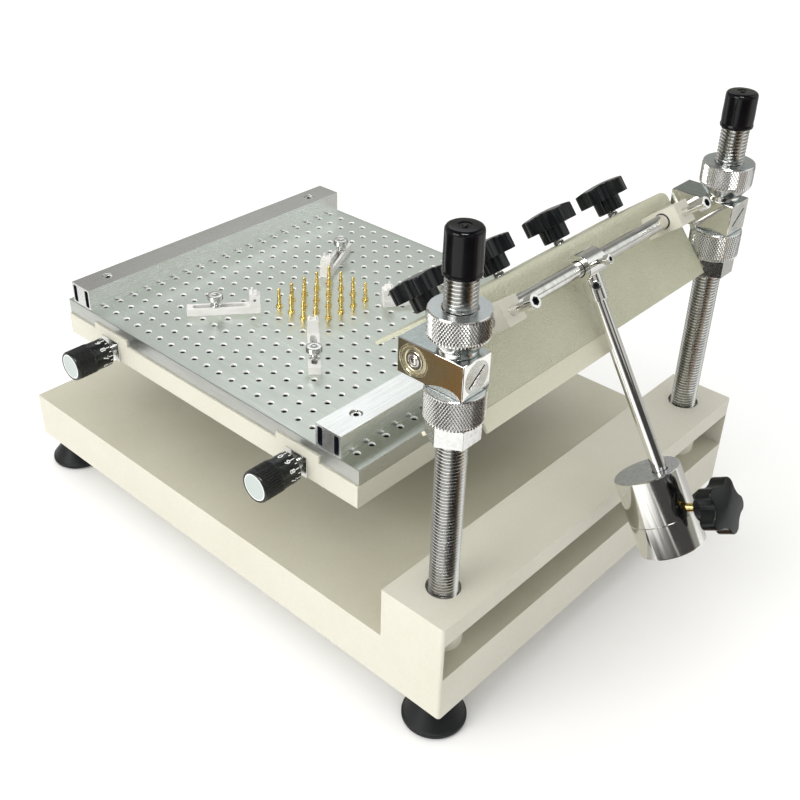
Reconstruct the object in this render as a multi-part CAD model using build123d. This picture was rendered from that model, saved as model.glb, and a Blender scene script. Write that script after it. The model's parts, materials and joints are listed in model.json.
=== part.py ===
from build123d import *
import os
from math import sin, cos, radians, degrees, atan2, pi, hypot

# Bench-top solder paste stencil printer. Millimetres, +Z up.
# Origin: centre of the base footprint, on the bench surface.
# -Y is the operator's side, +Y carries the two threaded posts,
# +X is the side with the two dial knobs.

# ---------------- driving dimensions ----------------
FIT = 0.05            # radial running clearance of every shaft in its bore
SHEET = 2.0           # folded steel sheet of the base

BASE_X, BASE_Y = 370.0, 475.0
BASE_Z0, BASE_Z1 = 27.0, 67.5       # underside and low top of the base
RISER_Y0, RISER_Z1 = 183.5, 109.5   # raised rear box
SLOT_Z0, SLOT_Z1 = 63.6, 94.0       # long slot in the rear face
SLOT_HALF_X = 183.0
REAR_CORNER_R = 2.5

FOOT_X, FOOT_Y = 165.0, 217.5
FOOT_R, FOOT_TOP_R, FOOT_RIM = 23.0, 10.0, 4.0
STUD_R = 4.0

POST_X, POST_Y, POST_R = 154.0, 210.5, 10.0
POST_TOP = {"left": 365.5, "right": 367.5}   # left is +X, right is -X
CAP_R, CAP_ROOF, CAP_ROUND = 11.6, 4.5, 3.8
CAP_Z0 = {"left": 341.0, "right": 346.5}

BLOCK_W, BLOCK_Y0, BLOCK_Y1 = 25.0, 175.5, 225.5
BLOCK_Z0, BLOCK_Z1 = 268.0, 292.0
HINGE_Y, HINGE_Z = 188.0, 280.0
BEARING_OD, BEARING_ID, BEARING_W = 22.0, 8.0, 7.0
STOP_PIN_Y, STOP_PIN_R = 209.0, 1.75
NUT_R = 19.0
HEX_AF = 30.0

BEAM_TILT = 39.1      # rotation about X from the printing position
BEAM_HALF_X = 135.0
WEB_N1, WEB_T = -4.3, 3.0
BEAM_DEPTH = 62.4
FLANGE_U = 18.4
JAW_U1, JAW_T, LIP_U = -47.5, 3.0, -61.0
LIP_X0 = -4.0         # the lip runs from here to the +X end
CLAMP_X = (35.0, 105.0, -35.0, -105.0)
CLAMP_N = -34.0
CLAMP_SCREW_R = 4.0
STAR_R, STAR_TIP_R, STAR_DIP_R, STAR_DOME = 20.0, 5.5, 10.0, 2.6
HUB_R = 10.2

BRACKET_X0, BRACKET_X1 = 92.0, 109.0
SHAFT_N, SHAFT_R = 12.0, 5.5
PIN_R = 4.0

ARM_ANGLE = 31.0      # counterweight rod from the vertical
ARM_X = 4.0
ROD_R = 5.0
WEIGHT_R, WEIGHT_H, WEIGHT_TOP, WEIGHT_OFF = 23.5, 58.0, 151.0, -11.2

PLATE_X, PLATE_Y0, PLATE_Y1 = 148.5, -222.5, 127.5
PLATE_Z0, PLATE_Z1 = 143.8, 157.5
PITCH, HOLE_R = 15.0, 2.3
HOLE_X0, HOLE_Y0 = 135.0, -187.5
COLUMNS, ROWS = 19, 21
FRAME_Z0 = 125.0
FRAME_X, FRAME_T = 149.9, 1.5     # outer side faces and sheet of the table frame
TAB_HALF, TAB_Z1, FLANGE_T = 22.5, 149.6, 1.2
RAIL_X, RAIL_W, RAIL_H = 148.0, 25.0, 19.0
RAIL_FRONT_Y, RAIL_BACK_Y = -202.5, 97.0
TABLE_CY = -47.5

KNOB_Y = (-161.5, 66.5)
KNOB_Z = 133.5
KNOB_R = 12.7
Y_KNOB_Z = 86.0
SCREW_R = 3.0

PIN_COLUMNS, PIN_ROWS = range(7, 12), range(7, 11)

# holder: screw hole, direction of its upright (inner) end, bar from inner to outer end
HOLDERS = (
    ((75.0, -112.5), (49.7, -91.3), 62.0),
    ((-75.0, -112.5), (-39.0, -94.5), 62.0),
    ((75.0, 7.5), (45.8, -24.0), 62.0),
    ((-75.0, 7.5), (-37.5, -18.0), 62.0),
)

os.makedirs("parts", exist_ok=True)


def save(name, *solids):
    flat = []
    for s in solids:
        flat.extend(s.solids())
    shape = flat[0] if len(flat) == 1 else Compound(children=flat)
    export_step(shape, f"parts/{name}.step")


def blk(x0, x1, y0, y1, z0, z1):
    return Pos((x0 + x1) / 2, (y0 + y1) / 2, (z0 + z1) / 2) * Box(abs(x1 - x0), abs(y1 - y0), abs(z1 - z0))


def cz(x, y, z0, z1, r):
    return Pos(x, y, (z0 + z1) / 2) * Cylinder(r, abs(z1 - z0))


def cx(x0, x1, y, z, r):
    return Pos((x0 + x1) / 2, y, z) * Rot(0, 90, 0) * Cylinder(r, abs(x1 - x0))


def cy(x, y0, y1, z, r):
    return Pos(x, (y0 + y1) / 2, z) * Rot(90, 0, 0) * Cylinder(r, abs(y1 - y0))


def cone_z(x, y, z0, z1, r0, r1):
    return Pos(x, y, (z0 + z1) / 2) * Cone(r0, r1, z1 - z0)


def hex_z(x, y, z0, z1, af):
    return Pos(x, y, z0) * extrude(RegularPolygon(af / 2, 6, major_radius=False), amount=z1 - z0)


def star(z0, z1):
    """Five-lobed knob head along Z with a low dome; tips and dips are tangent arcs."""
    tip_c = STAR_R - STAR_TIP_R
    half = radians(36)
    dip_c = tip_c * cos(half) + ((STAR_TIP_R + STAR_DIP_R) ** 2 - (tip_c * sin(half)) ** 2) ** 0.5
    arcs = []
    for k in range(5):
        a = radians(90 + 72 * k)
        tip = (tip_c * cos(a), tip_c * sin(a))
        meets = []
        for b in (a - half, a + half):
            dip = (dip_c * cos(b), dip_c * sin(b))
            f = STAR_TIP_R / (STAR_TIP_R + STAR_DIP_R)
            meets.append((tip[0] + (dip[0] - tip[0]) * f, tip[1] + (dip[1] - tip[1]) * f))
        arcs.append((meets[0], (STAR_R * cos(a), STAR_R * sin(a)), meets[1]))
    edges = []
    for k in range(5):
        edges.append(ThreePointArc(*arcs[k]))
        b = radians(90 + 72 * k) + half
        low = ((dip_c - STAR_DIP_R) * cos(b), (dip_c - STAR_DIP_R) * sin(b))
        edges.append(ThreePointArc(arcs[k][2], low, arcs[(k + 1) % 5][0]))
    head = Pos(0, 0, z0) * extrude(make_face(Wire(edges)), amount=z1 - z0)
    r = 14.0
    ball = (r * r + STAR_DOME ** 2) / (2 * STAR_DOME)
    dome = Pos(0, 0, z1 + STAR_DOME - ball) * Sphere(ball) & cz(0, 0, z1 - 0.4, z1 + STAR_DOME + 1, r)
    return head + dome


# ---------------- base ----------------
bx, by = BASE_X / 2, BASE_Y / 2
low = blk(-bx, bx, -by, by, BASE_Z0, BASE_Z1)
high = blk(-bx, bx, RISER_Y0, by, BASE_Z1, RISER_Z1)
outer = low + high
corners = [e for e in outer.edges() if e.length > 30 and abs(e.center().Y - by) < 0.01 and abs(abs(e.center().X) - bx) < 0.01]
outer = fillet(corners, REAR_CORNER_R)
inner = blk(-bx + SHEET, bx - SHEET, -by + SHEET, by - SHEET, BASE_Z0, BASE_Z1 - SHEET)
inner_high = blk(-bx + SHEET, bx - SHEET, RISER_Y0 + SHEET, by - SHEET, BASE_Z1 - SHEET - 1, RISER_Z1 - SHEET)
cavity = inner + inner_high
shell = outer - cavity
shell -= blk(-SLOT_HALF_X, SLOT_HALF_X, by - 12, by + 5, SLOT_Z0, SLOT_Z1)
# ledge inside the raised box, level with the lower edge of the slot
shell += blk(-bx + 1, bx - 1, RISER_Y0, by - 1, SLOT_Z0 - SHEET, SLOT_Z0)
shell += blk(-bx + 1, bx - 1, RISER_Y0, RISER_Y0 + SHEET, SLOT_Z0 - SHEET, BASE_Z1)
for s in (1, -1):
    shell -= cz(s * POST_X, POST_Y, RISER_Z1 - 6, RISER_Z1 + 4, 12.0)
    shell -= cz(s * POST_X, POST_Y, SLOT_Z0 - 6, SLOT_Z0 + 4, POST_R + FIT)
save("base_shell", shell)

floor_plate = blk(-bx + SHEET, bx - SHEET, -by + SHEET, by - SHEET, BASE_Z0, BASE_Z0 + SHEET)
for sx in (1, -1):
    for sy in (1, -1):
        floor_plate -= cz(sx * FOOT_X, sy * FOOT_Y, BASE_Z0 - 1, BASE_Z0 + SHEET + 1, STUD_R + FIT)
save("base_floor", floor_plate)

FEET = {"foot_front_right": (1, -1), "foot_front_left": (-1, -1), "foot_rear_right": (1, 1), "foot_rear_left": (-1, 1)}
for name, (sx, sy) in FEET.items():
    x, y = sx * FOOT_X, sy * FOOT_Y
    pad = cz(x, y, 0, FOOT_RIM, FOOT_R) + cone_z(x, y, FOOT_RIM, BASE_Z0 - 0.2, FOOT_R - 2.0, FOOT_TOP_R)
    stud = cz(x, y, BASE_Z0 - 0.2, BASE_Z0 + SHEET - 0.1, STUD_R)
    save(name, pad, stud)

sleeves, rods, caps = [], [], []
for side, s in (("left", 1), ("right", -1)):
    x = s * POST_X
    sleeves.append(cz(x, POST_Y, SLOT_Z0, 105.0, 15.0) - cz(x, POST_Y, BASE_Z0, 110.0, POST_R + FIT))
    top = POST_TOP[side]
    rods.append(cz(x, POST_Y, BASE_Z0 + SHEET, top - 1.5, POST_R) + cone_z(x, POST_Y, top - 1.5, top, POST_R, POST_R - 1.5))
    cap_top = top + CAP_ROOF
    cap = cz(x, POST_Y, CAP_Z0[side], cap_top, CAP_R) - cz(x, POST_Y, CAP_Z0[side] - 1, top, POST_R + FIT)
    rim = [e for e in cap.edges() if abs(e.center().Z - cap_top) < 0.01]
    cap = fillet(rim, CAP_ROUND)
    cap -= cone_z(x, POST_Y, cap_top - 0.5, cap_top + 0.5, 3.6, 4.6)
    cap += cz(x, POST_Y, cap_top - 0.7, cap_top + 0.3, 1.6)
    caps.append(cap)
save("post_sleeves", *sleeves)
save("posts", *rods)
save("post_caps", *caps)

# ---------------- guide bed under the table (fixed) ----------------
BED_Z1 = 71.5
Y_ROD_X, Y_ROD_Z = 55.0, 84.0
BED_END = 96.0
bed_plate = blk(-72, 72, TABLE_CY - 106, TABLE_CY + 106, BASE_Z1, BED_Z1)
bed = [bed_plate]
for sx in (1, -1):
    for sy in (1, -1):
        y = TABLE_CY + sy * BED_END
        bed.append(blk(sx * Y_ROD_X - 11, sx * Y_ROD_X + 11, y - 6, y + 6, BED_Z1, 96.0) - cy(sx * Y_ROD_X, y - 10, y + 10, Y_ROD_Z, ROD_R + FIT))
bed.append(blk(-12, 12, -125, -105, BED_Z1, 97.0) - cy(0, -130, -100, Y_KNOB_Z, SCREW_R + FIT))
save("guide_bed", *bed)
save("y_guide_rods", *[cy(s * Y_ROD_X, TABLE_CY - 102, TABLE_CY + 102, Y_ROD_Z, ROD_R) for s in (1, -1)])

# ---------------- cross carriage (slides along Y) ----------------
CAR_Z0, CAR_Z1 = 98.5, 102.5
X_ROD_DY, X_ROD_Z = 80.0, 115.0
carriage = [blk(-96, 96, -172.5, TABLE_CY + 125, CAR_Z0, CAR_Z1)]
for sx in (1, -1):
    for sy in (1, -1):
        y = TABLE_CY + sy * 46
        carriage.append(blk(sx * Y_ROD_X - 14, sx * Y_ROD_X + 14, y - 16, y + 16, 72.5, CAR_Z0) - cy(sx * Y_ROD_X, y - 20, y + 20, Y_ROD_Z, ROD_R + FIT))
        yy = TABLE_CY + sy * X_ROD_DY
        carriage.append(blk(sx * 89 - 6, sx * 89 + 6, yy - 11, yy + 11, CAR_Z1, 127.0) - cx(sx * 89 - 8, sx * 89 + 8, yy, X_ROD_Z, ROD_R + FIT))
for y in KNOB_Y:
    carriage.append(blk(66, 86, y - 10, y + 10, CAR_Z1, 142.6) - cx(60, 90, y, KNOB_Z, SCREW_R + FIT))
carriage.append(blk(-20, 20, -176.5, -172.5, 75.0, CAR_Z1) - cy(0, -180, -170, Y_KNOB_Z, SCREW_R + FIT))
save("cross_carriage", *carriage)
save("x_guide_rods", *[cx(-94.5, 94.5, TABLE_CY + s * X_ROD_DY, X_ROD_Z, ROD_R) for s in (1, -1)])


def dial_knob(length_screw, neck_length):
    """Dial knob along +Z, its neck starting at z = 0, screw below."""
    z1, z2, z3 = neck_length, neck_length + 14.5, neck_length + 34.5
    neck = cz(0, 0, 0, z1, 5.5)
    dial = cz(0, 0, z1, z2, KNOB_R - 0.5)
    grip = cz(0, 0, z2, z3, KNOB_R)
    grip = chamfer([e for e in grip.edges() if abs(e.center().Z - z3) < 0.01], 1.0)
    knob = neck + dial + grip
    knob -= cz(0, 0, z3 - 0.8, z3 + 1.0, 10.6)
    screw = cz(0, 0, -length_screw, 0, SCREW_R)
    return knob, screw


# side dial knobs push the table along X, front one the carriage along Y
for name, y in (("x_dial_knob_front", KNOB_Y[0]), ("x_dial_knob_rear", KNOB_Y[1])):
    k, s = dial_knob(92.7, 5.8)
    place = Pos(FRAME_X + FLANGE_T + 0.1, y, KNOB_Z) * Rot(0, 90, 0)
    save(name, place * k, place * s)
k, s = dial_knob(108.0, 6.5)
place = Pos(0, -199.5, Y_KNOB_Z) * Rot(90, 0, 0)
y_knob_head = place * k
save("y_dial_knob", y_knob_head, Pos(0, -199.5, Y_KNOB_Z) * Rot(90, 0, 0) * s)

# ---------------- table (slides along X on the carriage) ----------------
holes = Sketch() + [Pos(HOLE_X0 - PITCH * i, HOLE_Y0 + PITCH * j) * Circle(HOLE_R) for i in range(COLUMNS) for j in range(ROWS)]
outline = Pos(0, (PLATE_Y0 + PLATE_Y1) / 2) * Rectangle(2 * PLATE_X, PLATE_Y1 - PLATE_Y0)
plate = Pos(0, 0, PLATE_Z0) * extrude(outline - holes, amount=PLATE_Z1 - PLATE_Z0)
save("table_plate", plate)

skirt = blk(-FRAME_X, FRAME_X, PLATE_Y0, PLATE_Y1, FRAME_Z0, PLATE_Z0)
skirt -= blk(-FRAME_X + FRAME_T, FRAME_X - FRAME_T, PLATE_Y0 + FRAME_T, PLATE_Y1 - FRAME_T, FRAME_Z0 - 1, PLATE_Z0 - FRAME_T)
skirt -= blk(-FRAME_X + 18, FRAME_X - 18, PLATE_Y0 + 18, PLATE_Y1 - 18, FRAME_Z0 - 1, PLATE_Z0 + 1)
# tabs up the plate's side behind the two side knobs
for y in KNOB_Y:
    skirt += blk(PLATE_X + FIT, FRAME_X, y - TAB_HALF, y + TAB_HALF, FRAME_Z0 + 6, TAB_Z1)
    skirt -= cx(FRAME_X - 5, FRAME_X + 5, y, KNOB_Z, 4.5)
save("table_frame", skirt)

flanges = []
for y in KNOB_Y:
    f = blk(FRAME_X, FRAME_X + FLANGE_T, y - 11, y + 11, KNOB_Z - 8.4, KNOB_Z + 9.5) - cx(FRAME_X - 1, FRAME_X + 3, y, KNOB_Z, SCREW_R + FIT)
    flanges.append(f)
save("knob_flanges", *flanges)

hangers = []
for sx in (1, -1):
    for sy in (1, -1):
        y = TABLE_CY + sy * X_ROD_DY
        hangers.append(blk(sx * 42 - 15, sx * 42 + 15, y - 15, y + 15, 104.0, PLATE_Z0) - cx(sx * 42 - 20, sx * 42 + 20, y, X_ROD_Z, ROD_R + FIT))
save("table_slide_blocks", *hangers)

RAIL_SCREWS_X = (120.0, -120.0)
RAIL_SLOT_Y, RAIL_SLOT_H, RAIL_SLOT_W = 8.2, 15.6, 4.8
RAIL_BORE_R, RAIL_BORE_D = 5.0, 4.4


def rail(yc):
    r = blk(-RAIL_X, RAIL_X, yc - RAIL_W / 2, yc + RAIL_W / 2, PLATE_Z1, PLATE_Z1 + RAIL_H)
    for dy in (-RAIL_SLOT_Y, RAIL_SLOT_Y):
        slot = Pos(0, yc + dy, PLATE_Z1 + RAIL_H / 2) * Rot(0, 90, 0) * extrude(RectangleRounded(RAIL_SLOT_H, RAIL_SLOT_W, 1.4), amount=RAIL_X + 2, both=True)
        r -= slot
    for x in RAIL_SCREWS_X:
        r -= cz(x, yc, PLATE_Z1 - 1, PLATE_Z1 + RAIL_H + 1, 2.1)
        r -= cz(x, yc, PLATE_Z1 + RAIL_H - RAIL_BORE_D, PLATE_Z1 + RAIL_H + 1, RAIL_BORE_R)
    return r


save("rail_front", rail(RAIL_FRONT_Y))
save("rail_back", rail(RAIL_BACK_Y))
screws = []
for yc in (RAIL_FRONT_Y, RAIL_BACK_Y):
    for x in RAIL_SCREWS_X:
        z = PLATE_Z1 + RAIL_H - RAIL_BORE_D
        head = cz(x, yc, z, z + 3.2, 4.2)
        head -= hex_z(x, yc, z + 1.2, z + 3.9, 4.0)
        screws.append(head + cz(x, yc, PLATE_Z1 + 0.2, z, 1.95))
save("rail_screws", *screws)

pins = []
for i in PIN_COLUMNS:
    for j in PIN_ROWS:
        x, y = HOLE_X0 - PITCH * i, HOLE_Y0 + PITCH * j
        p = cz(x, y, PLATE_Z1 - 6, PLATE_Z1, HOLE_R - 0.1) + cz(x, y, PLATE_Z1, PLATE_Z1 + 1.6, 2.85)
        p += cz(x, y, PLATE_Z1 + 1.6, PLATE_Z1 + 10.6, 1.7) + cz(x, y, PLATE_Z1 + 10.6, PLATE_Z1 + 16.4, 1.4)
        p += cone_z(x, y, PLATE_Z1 + 16.4, PLATE_Z1 + 17.2, 1.4, 0.8)
        pins.append(p)
save("support_pins", *pins)

# ---------------- board holders ----------------
BAR_W, BAR_H, UP_L, UP_W, UP_H = 10.0, 6.5, 9.0, 9.0, 18.0
for n, (hole, inner_end, length) in enumerate(HOLDERS, 1):
    dx, dy = hole[0] - inner_end[0], hole[1] - inner_end[1]
    reach = hypot(dx, dy)
    ang = degrees(atan2(dy, dx))
    # local: x along the bar from the upright's centre outwards, origin at the screw
    place = Pos(hole[0], hole[1], PLATE_Z1) * Rot(0, 0, ang)
    x0 = -reach - UP_L / 2
    bar = blk(x0, x0 + length, -BAR_W / 2, BAR_W / 2, 0.05, BAR_H)
    slot0, slot1 = x0 + UP_L + 3.0, x0 + length - 5.0
    bar -= Pos((slot0 + slot1) / 2, 0, -1) * extrude(SlotOverall(slot1 - slot0, 5.4), amount=BAR_H + 3)
    bar += blk(x0, x0 + UP_L, -UP_W / 2, UP_W / 2, BAR_H - 0.5, UP_H)
    bar -= blk(x0 - 1, x0 + 2.4, -UP_W, UP_W, UP_H - 2.0, UP_H + 1)
    bar -= Pos(x0 + UP_L / 2, 0, UP_H - 6.0) * Rot(90, 0, 0) * Cylinder(1.3, 20)
    for dyy in (-2.6, 2.6):
        bar += cz(x0 + 6.4, dyy, UP_H - 1, UP_H + 3.2, 0.9)
    save(f"holder_bar_{n}", place * bar)
    stem = cz(0, 0, -7.0, BAR_H + 0.15, HOLE_R - FIT) + cz(0, 0, BAR_H + 0.15, BAR_H + 1.6, 4.6)
    stem += cz(0, 0, BAR_H + 1.6, BAR_H + 6.2, 2.6) + cz(0, 0, BAR_H + 6.2, BAR_H + 11.0, 6.5)
    save(f"holder_screw_{n}", place * stem)

# ---------------- hinge blocks, bearings and nuts ----------------
blocks, bearings, plugs = [], [], []
for s in (1, -1):
    x = s * POST_X
    b = blk(x - BLOCK_W / 2, x + BLOCK_W / 2, BLOCK_Y0, BLOCK_Y1, BLOCK_Z0, BLOCK_Z1)
    b = chamfer(b.edges(), 0.5)
    b -= cz(x, POST_Y, BLOCK_Z0 - 1, BLOCK_Z1 + 1, POST_R + FIT)
    out = x + s * BLOCK_W / 2
    b -= cx(out - s * BEARING_W, out + s * 2, HINGE_Y, HINGE_Z, BEARING_OD / 2)
    b -= cx(x - s * BLOCK_W, out + s * 2, HINGE_Y, HINGE_Z, BEARING_ID / 2 + 0.6)
    b -= cy(x, BLOCK_Y1 - 3.0, BLOCK_Y1 + 1, HINGE_Z, 10.5)
    if s < 0:
        b -= cx(-143.5, -138.0, STOP_PIN_Y, HINGE_Z, STOP_PIN_R + FIT)
    blocks.append(b)
    bearings.append(cx(out - s * BEARING_W, out - s * 0.4, HINGE_Y, HINGE_Z, BEARING_OD / 2) - cx(out - s * 10, out + s * 2, HINGE_Y, HINGE_Z, BEARING_ID / 2 + FIT))
    p = cy(x, BLOCK_Y1 - 3.0, BLOCK_Y1, HINGE_Z, 10.5)
    p -= Pos(x, BLOCK_Y1, HINGE_Z) * Rot(0, 38, 0) * Box(17.0, 2.4, 1.6)
    plugs.append(p)
save("hinge_blocks", *blocks)
save("pivot_bearings", *bearings)
# thin pin standing out of the -X block towards the middle
plugs.append(cx(-143.4, -115.5, STOP_PIN_Y, HINGE_Z, STOP_PIN_R))
save("block_fittings", *plugs)

for side, s in (("left", 1), ("right", -1)):
    x = s * POST_X
    up = cz(x, POST_Y, 292.2, 295.5, 12.5) + cone_z(x, POST_Y, 295.5, 303.5, 12.5, NUT_R) + cz(x, POST_Y, 303.5, 320.0, NUT_R)
    up = chamfer([e for e in up.edges() if abs(e.center().Z - 320.0) < 0.01], 0.8)
    save(f"upper_nut_{side}", up - cz(x, POST_Y, 280, 330, POST_R + FIT))
    dn = cz(x, POST_Y, 246.5, 267.8, NUT_R)
    dn = chamfer(dn.edges().filter_by(GeomType.CIRCLE), 0.8)
    save(f"lower_nut_{side}", dn - cz(x, POST_Y, 240, 270, POST_R + FIT))
    hx = hex_z(x, POST_Y, 232.0, 246.3, HEX_AF) & (cone_z(x, POST_Y, 220.0, 246.3, 40.0, 15.9))
    save(f"lock_nut_{side}", hx - cz(x, POST_Y, 230, 250, POST_R + FIT))

# ---------------- swinging beam: local frame x, n (back/up normal), u (up) ----------------
BEAM = Pos(0, HINGE_Y, HINGE_Z) * Rot(BEAM_TILT, 0, 0)
web_n0 = WEB_N1 - WEB_T
channel = blk(-BEAM_HALF_X, BEAM_HALF_X, -BEAM_DEPTH, WEB_N1, JAW_U1, FLANGE_U)
bend = [e for e in channel.edges() if abs(e.center().Y - WEB_N1) < 0.01 and abs(e.center().Z - FLANGE_U) < 0.01]
channel = fillet(bend, 6.0)
hollow = blk(-BEAM_HALF_X - 1, BEAM_HALF_X + 1, -BEAM_DEPTH - 5, web_n0, JAW_U1 - 5, FLANGE_U - WEB_T)
hollow = fillet([e for e in hollow.edges() if abs(e.center().Y - web_n0) < 0.01 and abs(e.center().Z - (FLANGE_U - WEB_T)) < 0.01], 3.0)
channel -= hollow
for x in CLAMP_X:
    channel -= cz(x, CLAMP_N, FLANGE_U - 6, FLANGE_U + 2, CLAMP_SCREW_R + FIT)
save("beam_channel", BEAM * channel)

jaw = blk(-BEAM_HALF_X, BEAM_HALF_X, -BEAM_DEPTH, WEB_N1, JAW_U1 - JAW_T, JAW_U1)
jaw += blk(LIP_X0, BEAM_HALF_X, web_n0, WEB_N1, LIP_U, JAW_U1 - JAW_T)
save("beam_jaw", BEAM * jaw)

brackets = []
screws = []
for s in (1, -1):
    xa, xb = s * BRACKET_X0, s * BRACKET_X1
    b = blk(xa, xb, WEB_N1, 26.0, -9.0, 7.5)
    b -= cx(xa - s * 2, xb + s * 2, SHAFT_N, 0, SHAFT_R + FIT)
    b -= cx(xa + s * 3, xb + s * 2, 0, 0, PIN_R + FIT)
    xs = s * 100.5
    b -= cy(xs, 17.0, 28.0, -1.0, 3.0 + FIT)
    sc = cy(xs, 17.9, 40.0, -1.0, 3.0) + cy(xs, 40.0, 46.0, -1.0, 4.8)
    sc -= Pos(xs, 46.0, -1.0) * Rot(-90, 0, 0) * Pos(0, 0, -3.0) * extrude(RegularPolygon(2.5, 6, major_radius=False), amount=5.0)
    screws.append(sc)
    brackets.append(b)
save("shaft_brackets", *[BEAM * b for b in brackets])
save("bracket_screws", *[BEAM * b for b in screws])
pivots = []
for s in (1, -1):
    p = cx(s * (BRACKET_X0 + 3.4), s * (POST_X + BLOCK_W / 2 + 0.6), 0, 0, PIN_R)
    p -= Pos(s * (POST_X + BLOCK_W / 2 + 0.6), 0, 0) * Box(2.0, 1.2, 6.0)
    pivots.append(p)
save("pivot_pins", *[BEAM * p for p in pivots])

for n, x in enumerate(CLAMP_X, 1):
    pad = cz(x, CLAMP_N, -18.0, -12.0, 9.0) - cz(x, CLAMP_N, -15.0, -11.0, CLAMP_SCREW_R + FIT)
    save(f"clamp_pad_{n}", BEAM * pad)
    hub = cz(0, 0, 22.0, 32.2, HUB_R)
    knob = hub + star(32.0, 43.0)
    screw = cz(0, 0, -14.9, 22.0, CLAMP_SCREW_R)
    place = BEAM * Pos(x, CLAMP_N, 0) * Rot(0, 0, 17.0 * n)
    save(f"clamp_knob_{n}", place * knob, place * screw)

save("cross_shaft", BEAM * cx(-BRACKET_X1, BRACKET_X1, SHAFT_N, 0, SHAFT_R))

# ---------------- counterweight arm: local y = outward normal, -z along the rod ----------------
t = radians(BEAM_TILT)
SHAFT_Y = HINGE_Y + SHAFT_N * cos(t)
SHAFT_Z = HINGE_Z + SHAFT_N * sin(t)
ARM = Pos(ARM_X, SHAFT_Y, SHAFT_Z) * Rot(ARM_ANGLE, 0, 0)
collar = cx(-10, 10, 0, 0, 9.8) + cz(0, 0, -25.0, 0, 7.2)
collar -= cx(-12, 12, 0, 0, SHAFT_R + FIT)
collar -= cz(0, 0, -27.0, -7.5, ROD_R + FIT)
BOSS_Z, BOSS_TURN = -13.6, 45.0
collar -= cy(0, 3.0, 12.0, 0, 1.9 + FIT)
collar -= Rot(0, 0, BOSS_TURN) * cx(3.0, 12.0, 0, BOSS_Z, 1.9 + FIT)
save("arm_collar", ARM * collar)
a = cy(0, 5.7, 15.8, 0, 1.9) + cy(0, 15.8, 20.3, 0, 3.4)
a -= Pos(0, 20.3, 0) * Rot(-90, 0, 0) * Pos(0, 0, -2.2) * extrude(RegularPolygon(1.5, 6, major_radius=False), amount=4.0)
b = cx(5.2, 9.0, 0, BOSS_Z, 1.9) + cx(9.0, 12.5, 0, BOSS_Z, 3.4)
b -= Pos(12.5, 0, BOSS_Z) * Rot(0, 90, 0) * Pos(0, 0, -2.0) * extrude(RegularPolygon(1.5, 6, major_radius=False), amount=4.0)
arm_screws = [a, Rot(0, 0, BOSS_TURN) * b]
save("arm_screws", *[ARM * a for a in arm_screws])
save("arm_rod", ARM * cz(0, 0, -(WEIGHT_TOP + WEIGHT_H - 3.0), -7.6, ROD_R))

split = WEIGHT_TOP + 0.58 * WEIGHT_H
w_low = cz(0, WEIGHT_OFF, -(WEIGHT_TOP + WEIGHT_H), -split, WEIGHT_R)
w_low = chamfer([e for e in w_low.edges() if abs(e.center().Z + WEIGHT_TOP + WEIGHT_H) < 0.01], 0.8)
w_top = cz(0, WEIGHT_OFF, -split, -WEIGHT_TOP, WEIGHT_R)
w_top = chamfer([e for e in w_top.edges() if abs(e.center().Z + WEIGHT_TOP) < 0.01], 0.8)
bore = cz(0, 0, -(WEIGHT_TOP + WEIGHT_H + 5), -(WEIGHT_TOP - 5), ROD_R + FIT)
KNOB_AT = -(WEIGHT_TOP + 0.5 * WEIGHT_H)
tap = cy(0, 3.0, WEIGHT_OFF + WEIGHT_R + 3, KNOB_AT, 3.0 + FIT)
save("counterweight", ARM * (w_top - bore - tap), ARM * (w_low - bore - tap))
surface = WEIGHT_OFF + WEIGHT_R
place = ARM * Pos(0, surface, KNOB_AT) * Rot(-90, 0, 0)
hub = cz(0, 0, 10.0, 19.2, HUB_R)
save("weight_knob", place * (hub + star(19.0, 30.0)), place * cz(0, 0, -surface + ROD_R + 0.3, 10.0, 3.0))
print("shaft axis", SHAFT_Y, SHAFT_Z)
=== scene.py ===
import json
from math import sin, cos, tan, radians, degrees, pi, hypot, atan2, acos, sqrt

import bpy
import bmesh
import numpy as np
from mathutils import Matrix, Vector


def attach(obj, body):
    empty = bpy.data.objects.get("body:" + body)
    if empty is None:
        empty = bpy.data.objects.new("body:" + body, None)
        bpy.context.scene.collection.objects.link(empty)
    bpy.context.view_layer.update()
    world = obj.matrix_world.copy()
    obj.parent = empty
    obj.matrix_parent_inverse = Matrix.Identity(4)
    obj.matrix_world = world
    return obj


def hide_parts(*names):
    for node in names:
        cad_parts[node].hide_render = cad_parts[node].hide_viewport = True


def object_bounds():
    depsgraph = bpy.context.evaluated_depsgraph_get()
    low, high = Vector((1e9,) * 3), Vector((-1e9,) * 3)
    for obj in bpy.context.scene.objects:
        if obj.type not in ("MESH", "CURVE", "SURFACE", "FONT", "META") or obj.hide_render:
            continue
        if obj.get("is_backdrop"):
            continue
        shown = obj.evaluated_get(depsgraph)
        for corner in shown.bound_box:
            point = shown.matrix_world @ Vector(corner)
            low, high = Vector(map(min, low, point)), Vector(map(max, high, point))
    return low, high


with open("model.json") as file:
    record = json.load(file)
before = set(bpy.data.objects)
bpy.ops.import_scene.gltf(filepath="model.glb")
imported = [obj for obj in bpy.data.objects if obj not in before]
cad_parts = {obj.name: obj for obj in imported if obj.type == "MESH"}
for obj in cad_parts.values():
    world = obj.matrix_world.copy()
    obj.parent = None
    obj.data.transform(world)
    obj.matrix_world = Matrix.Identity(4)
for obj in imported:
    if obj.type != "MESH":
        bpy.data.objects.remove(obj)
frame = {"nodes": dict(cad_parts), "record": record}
NODES = frame["nodes"]
BODY_OF = {n: b for b, ns in frame["record"]["behaviour"]["bodies"].items() for n in ns}
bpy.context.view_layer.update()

S = 0.001      # lengths below are in millimetres


# ---------------------------------------------------------------- placement
def T(x, y, z):
    return Matrix.Translation((x * S, y * S, z * S))


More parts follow.
